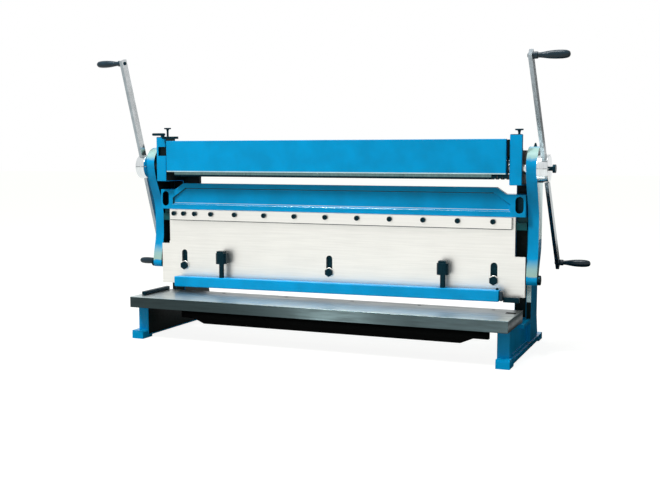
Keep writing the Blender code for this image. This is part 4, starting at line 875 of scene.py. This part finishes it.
class MACHINE_OT_ram(PieceOperator):
    """Dresses the ram beam with its sunk panel, and the guide blocks under its ends"""
    bl_idname = "machine.ram"
    bl_label = "Ram"

    def execute(self, context):
        sizes = context.scene.machine_sizes
        front, top, web_top = low("ram_beam", "y"), high("ram_beam", "z"), high("blade_plate", "z")
        panel_depth = 8 * MM
        # The finishes: enamel; black as painted shade; bright steel as painted highlight; dark enamel as
        # painted shade
        enamel, black, rubbed, shaded = range(4)

        def beside_panel(place, half_width):
            return abs(place.x) < half_width and web_top + 5 * MM < place.z < top - 4 * MM

        def paint(face):
            """Painted shade on the web and in the slots, and lines of painted highlight and painted shade
            round the sunk panel.
            """
            centre = face.calc_center_median()
            depth = centre.y - front
            slot = (centre.z > web_top and 670 * MM < abs(centre.x) < 706.5 * MM and MM < depth < 35 * MM
                    and abs(face.normal.z) < 0.99 and face.calc_area() < 2e-3)
            if (centre.z < web_top and face.normal.y < -0.5) or slot:
                return black
            if not (0.1 * MM < depth < panel_depth - 0.05 * MM and face.normal.y < -0.05
                    and beside_panel(centre, 674 * MM)):
                return enamel
            if face.normal.z < -0.6 or (face.normal.x > 0.3 and centre.x < 0):
                return shaded
            least, most = (0.05, 0.42) if depth > 2.4 * MM else (0.3, 0.9)
            return rubbed if least < face.normal.z < most else enamel

        def adjust(shape):
            """Rounds the sunk panel's edges, first those at its floor and then those at its rim."""
            for depth, radius, steps in ((panel_depth, 5.4 * MM, 5), (0, 2.3 * MM, 3)):
                edges = edges_at(shape, lambda place: abs(place.y - front - depth) < 0.5 * MM
                                 and beside_panel(place, 672 * MM))
                soften(shape, radius, steps, edges)

        dress_node("ram_beam", (gloss_enamel, black_oxide, painted_highlight_steel, dark_enamel_and_shade), sizes.casting_round,
                   3, 40, 8 * MM, paint=paint, adjust=adjust)
        for name in SIDES:
            dress_node("guide_block_" + name, (dark_enamel_and_shade,), sizes.casting_round / 2, 2, 40, 6 * MM)
        return {"FINISHED"}


class MACHINE_OT_blade(PieceOperator):
    """Dresses the blade plate, its three bolts and the clamp strip with its row of screws"""
    bl_idname = "machine.blade"
    bl_label = "Blade plate"

    def execute(self, context):
        sizes = context.scene.machine_sizes
        dress_node("blade_plate", (ground_plate_steel,), sizes.plate_round, 2, 40, 3 * MM)
        self.make_strip()
        for place in ("left", "middle", "right"):
            self.make_bolt("plate_bolt_" + place)
        return {"FINISHED"}

    def make_strip(self):
        """A flat strip whose lower edge and ends carry painted shade, and its row of socket screws."""
        start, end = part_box("clamp_strip")
        front = end.y - 15 * MM
        strip = bmesh.new()
        block(strip, (start.x, front, start.z), end)
        lower_front = edges_at(strip, lambda place: place.z < start.z + MM and place.y < front + MM)
        soften(strip, 2.6 * MM, 1, lower_front)
        soften(strip, 0.5 * MM, 1, sharp_edges(strip, 60))

        # Painted shade: faces turned down and the ends are dark.
        def paint(face):
            return int(face.normal.z < -0.4 or abs(face.normal.x) > 0.8)

        dress("clamp_strip_piece", strip, "ram", (ground_plate_steel, planed_iron_and_shade),
              ("clamp_strip",), paint=paint)
        # Places of the screws as shares of the strip's half length, and a head with a socket in it
        shares = (-0.971, -0.907, -0.834, -0.728, -0.575, -0.39, -0.204, -0.019, 0.166, 0.351, 0.536, 0.721,
                  0.906)
        outline = mm((0.5, 0), (0.5, 9), (-7, 9), (-8, 8), (-8, 5.04), (-4.5, 4.5), (-4.5, 0))
        for number, share in enumerate(shares, 1):
            screw = bmesh.new()
            turned(screw, outline, "Y", (share * end.x, front, end.z - 15 * MM), 24)
            dress_black(f"strip_screw_{number}", screw, "ram")

    def make_bolt(self, node):
        """A hexagon bolt through the plate's slot, on a washer."""
        centre = (middle(node, "x"), low("blade_plate", "y"), middle(node, "z"))
        head, shank = centre[1] - low(node, "y"), high(node, "y") - centre[1]
        washer = bmesh.new()
        turned(washer, mm((0.2, 0), (0.2, 17.4), (-1.4, 17.4), (-2, 16.6), (-2, 0)), "Y", centre, 32)
        dress(node + "_washer", washer, "ram", (ground_plate_steel,))
        bolt = bmesh.new()
        hexagon(bolt, centre, 16 * MM, 2 * MM, head)
        turned(bolt, ((-1 * MM, 0), (-1 * MM, 9 * MM), (shank, 9 * MM), (shank, 0)), "Y", centre, 24)
        dress_black(node + "_piece", bolt, "ram", (node,))


class MACHINE_OT_hold_down(PieceOperator):
    """Dresses the hold-down bar, its end cap, and the posts with their spring housings"""
    bl_idname = "machine.hold_down"
    bl_label = "Hold-down bar"

    def execute(self, context):
        sizes = context.scene.machine_sizes
        dress_node("hold_down_bar", (gloss_enamel,), sizes.casting_round / 2, 3, 40, 6 * MM)
        dress_node("hold_down_end_cap", (phenolic,), 5 * MM, 4)
        # Partly painted shade: this black guide bar also fills the dark gap beneath the plate's right end.
        guide_start = high("hold_down_end_cap", "x") - 2 * MM
        dress_block("hold_down_guide", ((guide_start, -46 * MM, 188 * MM), (700 * MM, -34 * MM, 206 * MM)),
                    1 * MM, 2, "hold_down", black_oxide)
        stop = bmesh.new()
        turned(stop, mm((-2, 0), (-2, 5), (5, 5), (7, 3.4), (7, 0)), "Z",
               (625 * MM, middle("hold_down_bar", "y"), high("hold_down_bar", "z")), 24)
        dress_black("hold_down_stop_screw", stop, "hold_down")
        for name in SIDES:
            self.make_post("hold_down_post_" + name)
            dress_node("spring_housing_" + name, (black_oxide,), sizes.fitting_round, 2, 50, 6 * MM)
        return {"FINISHED"}

    def make_post(self, node):
        radius = (high(node, "x") - low(node, "x")) / 2
        bottom, top = low(node, "z"), high(node, "z")
        post = bmesh.new()
        turned(post, ((bottom, 0), (bottom, radius), (top - 1 * MM, radius), (top, radius - 1 * MM),
                      (top, 0)), "Z", (middle(node, "x"), middle(node, "y"), 0), 32)
        dress_black(node + "_piece", post, "hold_down", (node,))


class MACHINE_OT_links(PieceOperator):
    """Dresses the eccentrics' links with rounded edges, their oil cups and their lower pins"""
    bl_idname = "machine.links"
    bl_label = "Links"

    def execute(self, context):
        sizes = context.scene.machine_sizes
        for name, side in SIDES.items():
            self.make_link(name + "_link", side, sizes)
            dress_node(name + "_link_pin", (black_oxide,), sizes.fitting_round, 2, 40, 1 * MM)
            dress_node(name + "_eccentric", (planed_iron_and_shade,), sizes.fitting_round, 2, 60, 1 * MM)
        return {"FINISHED"}

    def make_link(self, node, side, sizes):
        cup_low = high(node, "z") - 11.7 * MM
        # Heights of the painted reflection on the right-facing face
        highlight_low, highlight_high = 400 * MM, 602 * MM
        # The finishes: enamel with painted highlights; black; oiled iron as painted shade; bright steel as
        # painted highlight
        enamel, black, oiled, rubbed = range(4)

        def adjust(shape):
            """Draws the oil cup in to a point, and parts the right-hand face where the painted reflection
            goes.
            """
            split(shape, "z", highlight_low, highlight_high)
            crown = [vertex for vertex in shape.verts if vertex.co.z > high(node, "z") - 4 * MM]
            centre = sum((vertex.co for vertex in crown), Vector()) / len(crown)
            for vertex in crown:
                vertex.co.xy = centre.xy + 0.4 * (vertex.co.xy - centre.xy)

        def paint(face):
            """A black cup, painted shade on the face toward the column, and a painted reflection on a stretch
            that faces right.
            """
            height = face.calc_center_median().z
            if height > cup_low:
                return black
            if face.normal.x * side < -0.9:
                return oiled
            return rubbed if face.normal.x > 0.9 and highlight_low < height < highlight_high else enamel

        dress_node(node, (enamel_with_painted_highlights, black_oxide, dark_iron_and_shade, painted_highlight_steel), sizes.casting_round, 3, 50,
                   2 * MM, smooth=40, paint=paint, adjust=adjust)


class MACHINE_OT_cranks(PieceOperator):
    """Dresses the polished hubs, the flat crank bars, the end bolts and the four grips"""
    bl_idname = "machine.cranks"
    bl_label = "Cranks"

    def execute(self, context):
        sizes = context.scene.machine_sizes
        for name, side in SIDES.items():
            self.make_hub(name + "_hub")
            dress_node(name + "_end_bolt", (black_oxide,), sizes.fitting_round, 2, 50, 1 * MM)
            self.make_bar(name, side)
            for end in ("upper", "lower"):
                self.make_grip(f"{name}_{end}_grip", side)
        return {"FINISHED"}

    def make_hub(self, node):
        height, half_slit = middle("eccentric_shaft", "z"), 0.8 * MM
        slit_end = middle("eccentric_shaft", "y") - 14 * MM

        def adjust(shape):
            """Cuts the clamping slit through the front half of the hub."""
            slit = bmesh.new()
            block(slit, (low(node, "x") - MM, low(node, "y") - MM, height - half_slit),
                  (high(node, "x") + MM, slit_end, height + half_slit))
            return cut_out(shape, slit)

        dress_node(node, (polished_steel,), adjust=adjust)

    def make_bar(self, name, side):
        node = name + "_crank_bar"
        grip = name + "_upper_grip"
        axis = Vector((0, middle(grip, "y"), middle(grip, "z")))
        shaft = Vector((0, middle("eccentric_shaft", "y"), middle("eccentric_shaft", "z")))
        along = (axis - shaft).normalized()
        overhang = 12 * MM

        def adjust(shape):
            """Ends the bar square just past the grip."""
            cut_across(shape, axis + along * overhang, along, clear_outer=True)
            close_holes(shape)

        def paint(face):
            """Painted highlight: the left bar's inner face is polished bright."""
            return int(side < 0 and face.normal.x > 0.9)

        dress_node(node, (drawn_steel, polished_steel), 1 * MM, 2, 50, 8 * MM, paint=paint, adjust=adjust)
        inner = side * 770 * MM
        outline = [(inner + side * place, radius)
                   for place, radius in mm((1, 0), (1, 6.5), (-3, 6.5), (-4, 5.4), (-4, 0))]
        for end in ("upper", "lower"):
            grip = f"{name}_{end}_grip"
            nut = bmesh.new()
            turned(nut, outline, "X", (0, middle(grip, "y"), middle(grip, "z")), 24)
            dress_black(f"{name}_{end}_rivet", nut, body_of(node))

    def make_grip(self, node, side):
        """A pear-shaped grip with a waist and a collar, moulded round its stud."""
        start = side * min(abs(low(node, "x")), abs(high(node, "x")))
        length = high(node, "x") - low(node, "x")
        radius = (high(node, "z") - low(node, "z")) / 2
        bore = 4.7 * MM
        bore_end = start + side * (length - 14 * MM)
        # Places along the grip's length, and the radius there as a share of the widest
        profile = ((0.0, 0.79), (0.012, 0.81), (0.118, 0.81), (0.13, 0.78), (0.135, 0.6), (0.19, 0.6),
                   (0.27, 0.68), (0.36, 0.8), (0.45, 0.9), (0.54, 0.96), (0.63, 0.995), (0.7, 1.0),
                   (0.78, 0.985), (0.85, 0.94), (0.91, 0.86), (0.955, 0.72), (0.985, 0.5), (0.997, 0.24),
                   (1.0, 0.0))
        surface = [(start + side * length * place, radius * wide) for place, wide in profile]
        outline = [(start, bore), *surface, (bore_end, 0), (bore_end, bore)]
        grip = bmesh.new()
        turned(grip, outline, "X", (0, middle(node, "y"), middle(node, "z")), 48)
        close_holes(grip)
        dress(node + "_piece", grip, node, (phenolic,), (node,), 40)


class MACHINE_OT_rolls(PieceOperator):
    """Dresses the three slip rolls, their gears, the bearing blocks and the eccentric shaft"""
    bl_idname = "machine.rolls"
    bl_label = "Rolls"

    def execute(self, context):
        sizes = context.scene.machine_sizes
        for node in ("lower_roll", "upper_roll", "rear_roll", "eccentric_shaft"):
            dress_node(node, (polished_steel,), smooth=26)
        for name in SIDES:
            for row in ("upper", "rear"):
                dress_node(f"{row}_roll_block_{name}", (planed_iron_and_shade,), sizes.fitting_round, 2, 50, 8 * MM)
        return {"FINISHED"}


class MACHINE_OT_controls(PieceOperator):
    """Dresses the roll screws, the set screws, the release lever, the latch plate, and two dark blocks of
    painted shade that stand as a guard and a keeper
    """
    bl_idname = "machine.controls"
    bl_label = "Controls"

    def execute(self, context):
        for name in SIDES:
            self.make_roll_screw("roll_screw_" + name)
            dress_node("rear_screw_" + name, (black_oxide,), 0.5 * MM, 2, 50, 1 * MM)
        self.make_lever("release_lever")
        plate_low = low("latch_plate", "z")
        foot_end = -655 * MM

        def thin(shape):
            """Clears the space below the latch plate beside its foot."""
            gap = bmesh.new()
            block(gap, (foot_end, -1, plate_low - MM), (-1 * MM, 1, plate_low + 7 * MM))
            return cut_out(shape, gap)

        dress_node("latch_plate", (black_oxide,), context.scene.machine_sizes.fitting_round, 2, 50, 4 * MM,
                   adjust=thin)
        # Painted shade: two dark blocks, a guard beside the gears and a keeper beside the left link, darken
        # places that lie in shadow.
        dress_block("gear_guard", mm((-661.5, 70, 556), (-593, 90, 630)), 4 * MM, 3, "stand", dark_iron_and_shade)
        dress_block("link_keeper", mm((-744, 80, 545), (-719, 96, 605)), 2 * MM, 2, "stand", dark_iron_and_shade)
        return {"FINISHED"}

    def make_lever(self, node):
        """A short bar with round ends on a low boss."""
        bottom, top = low(node, "z"), high(node, "z")
        bar = bmesh.new()
        block(bar, (low(node, "x"), low(node, "y"), top - 10 * MM), (high(node, "x"), high(node, "y"), top))
        soften(bar, 4.6 * MM, 4)
        boss, boss_top = 7.6 * MM, top - 4 * MM
        lever = bmesh.new()
        turned(lever, ((bottom, 0), (bottom, boss), (boss_top, boss), (boss_top, 0)), "Z",
               (high(node, "x") - 9 * MM, middle(node, "y"), 0), 28)
        join(lever, bar)
        dress_black(node + "_piece", lever, body_of(node), (node,))

    def make_roll_screw(self, node):
        """A screw with a flat cross bar for a head, on a short cone."""
        x, y = middle(node, "x"), middle(node, "y")
        bottom, top = low(node, "z"), high(node, "z")
        half = (high(node, "x") - low(node, "x")) / 2
        shank = (high(node, "y") - low(node, "y")) / 2
        thread = shank - 0.4 * MM
        screw = bmesh.new()
        turned(screw, ((bottom, 0), (bottom, thread), (top - 12 * MM, thread), (top - 4 * MM, shank * 1.5),
                       (top - 3 * MM, 0)), "Z", (x, y, 0), 28)
        bar = bmesh.new()
        block(bar, (x - half, low(node, "y"), top - 5.6 * MM), (x + half, high(node, "y"), top))
        soften(bar, 2.2 * MM, 3)
        join(screw, bar)
        dress_black(node + "_piece", screw, body_of(node), (node,))


class MACHINE_OT_rails(PieceOperator):
    """Dresses the two cross rails behind the ram"""
    bl_idname = "machine.rails"
    bl_label = "Cross rails"

    def execute(self, context):
        for node in ("upper_cross_rail", "lower_cross_rail"):
            dress_node(node, (gloss_enamel,), context.scene.machine_sizes.casting_round, 3, 40, 10 * MM)
        return {"FINISHED"}


class MACHINE_PT_panel(bpy.types.Panel):
    """Lists the operators and settings of the machine"""
    bl_idname = "MACHINE_PT_panel"
    bl_label = "Sheet metal machine"
    bl_space_type = "VIEW_3D"
    bl_region_type = "UI"
    bl_category = "Sheet Metal"

    def draw(self, context):
        layout = self.layout
        for group in (context.scene.machine_colours, context.scene.machine_sizes):
            for name in group.__annotations__:
                layout.prop(group, name)
        for operator in OPERATORS:
            layout.operator(operator.bl_idname)


OPERATORS = (MACHINE_OT_stage, MACHINE_OT_side_frames, MACHINE_OT_table, MACHINE_OT_brake, MACHINE_OT_ram,
             MACHINE_OT_blade, MACHINE_OT_hold_down, MACHINE_OT_links, MACHINE_OT_cranks, MACHINE_OT_rolls,
             MACHINE_OT_controls, MACHINE_OT_rails)
CLASSES = (MachineColours, MachineSizes) + OPERATORS + (MACHINE_PT_panel,)


def register():
    for item in CLASSES:
        bpy.utils.register_class(item)
    bpy.types.Scene.machine_colours = PointerProperty(type=MachineColours)
    bpy.types.Scene.machine_sizes = PointerProperty(type=MachineSizes)


def unregister():
    del bpy.types.Scene.machine_sizes
    del bpy.types.Scene.machine_colours
    for item in reversed(CLASSES):
        bpy.utils.unregister_class(item)


def main():
    register()
    for operator in OPERATORS:
        group, name = operator.bl_idname.split(".")
        getattr(getattr(bpy.ops, group), name)()


if __name__ == "__main__":
    main()
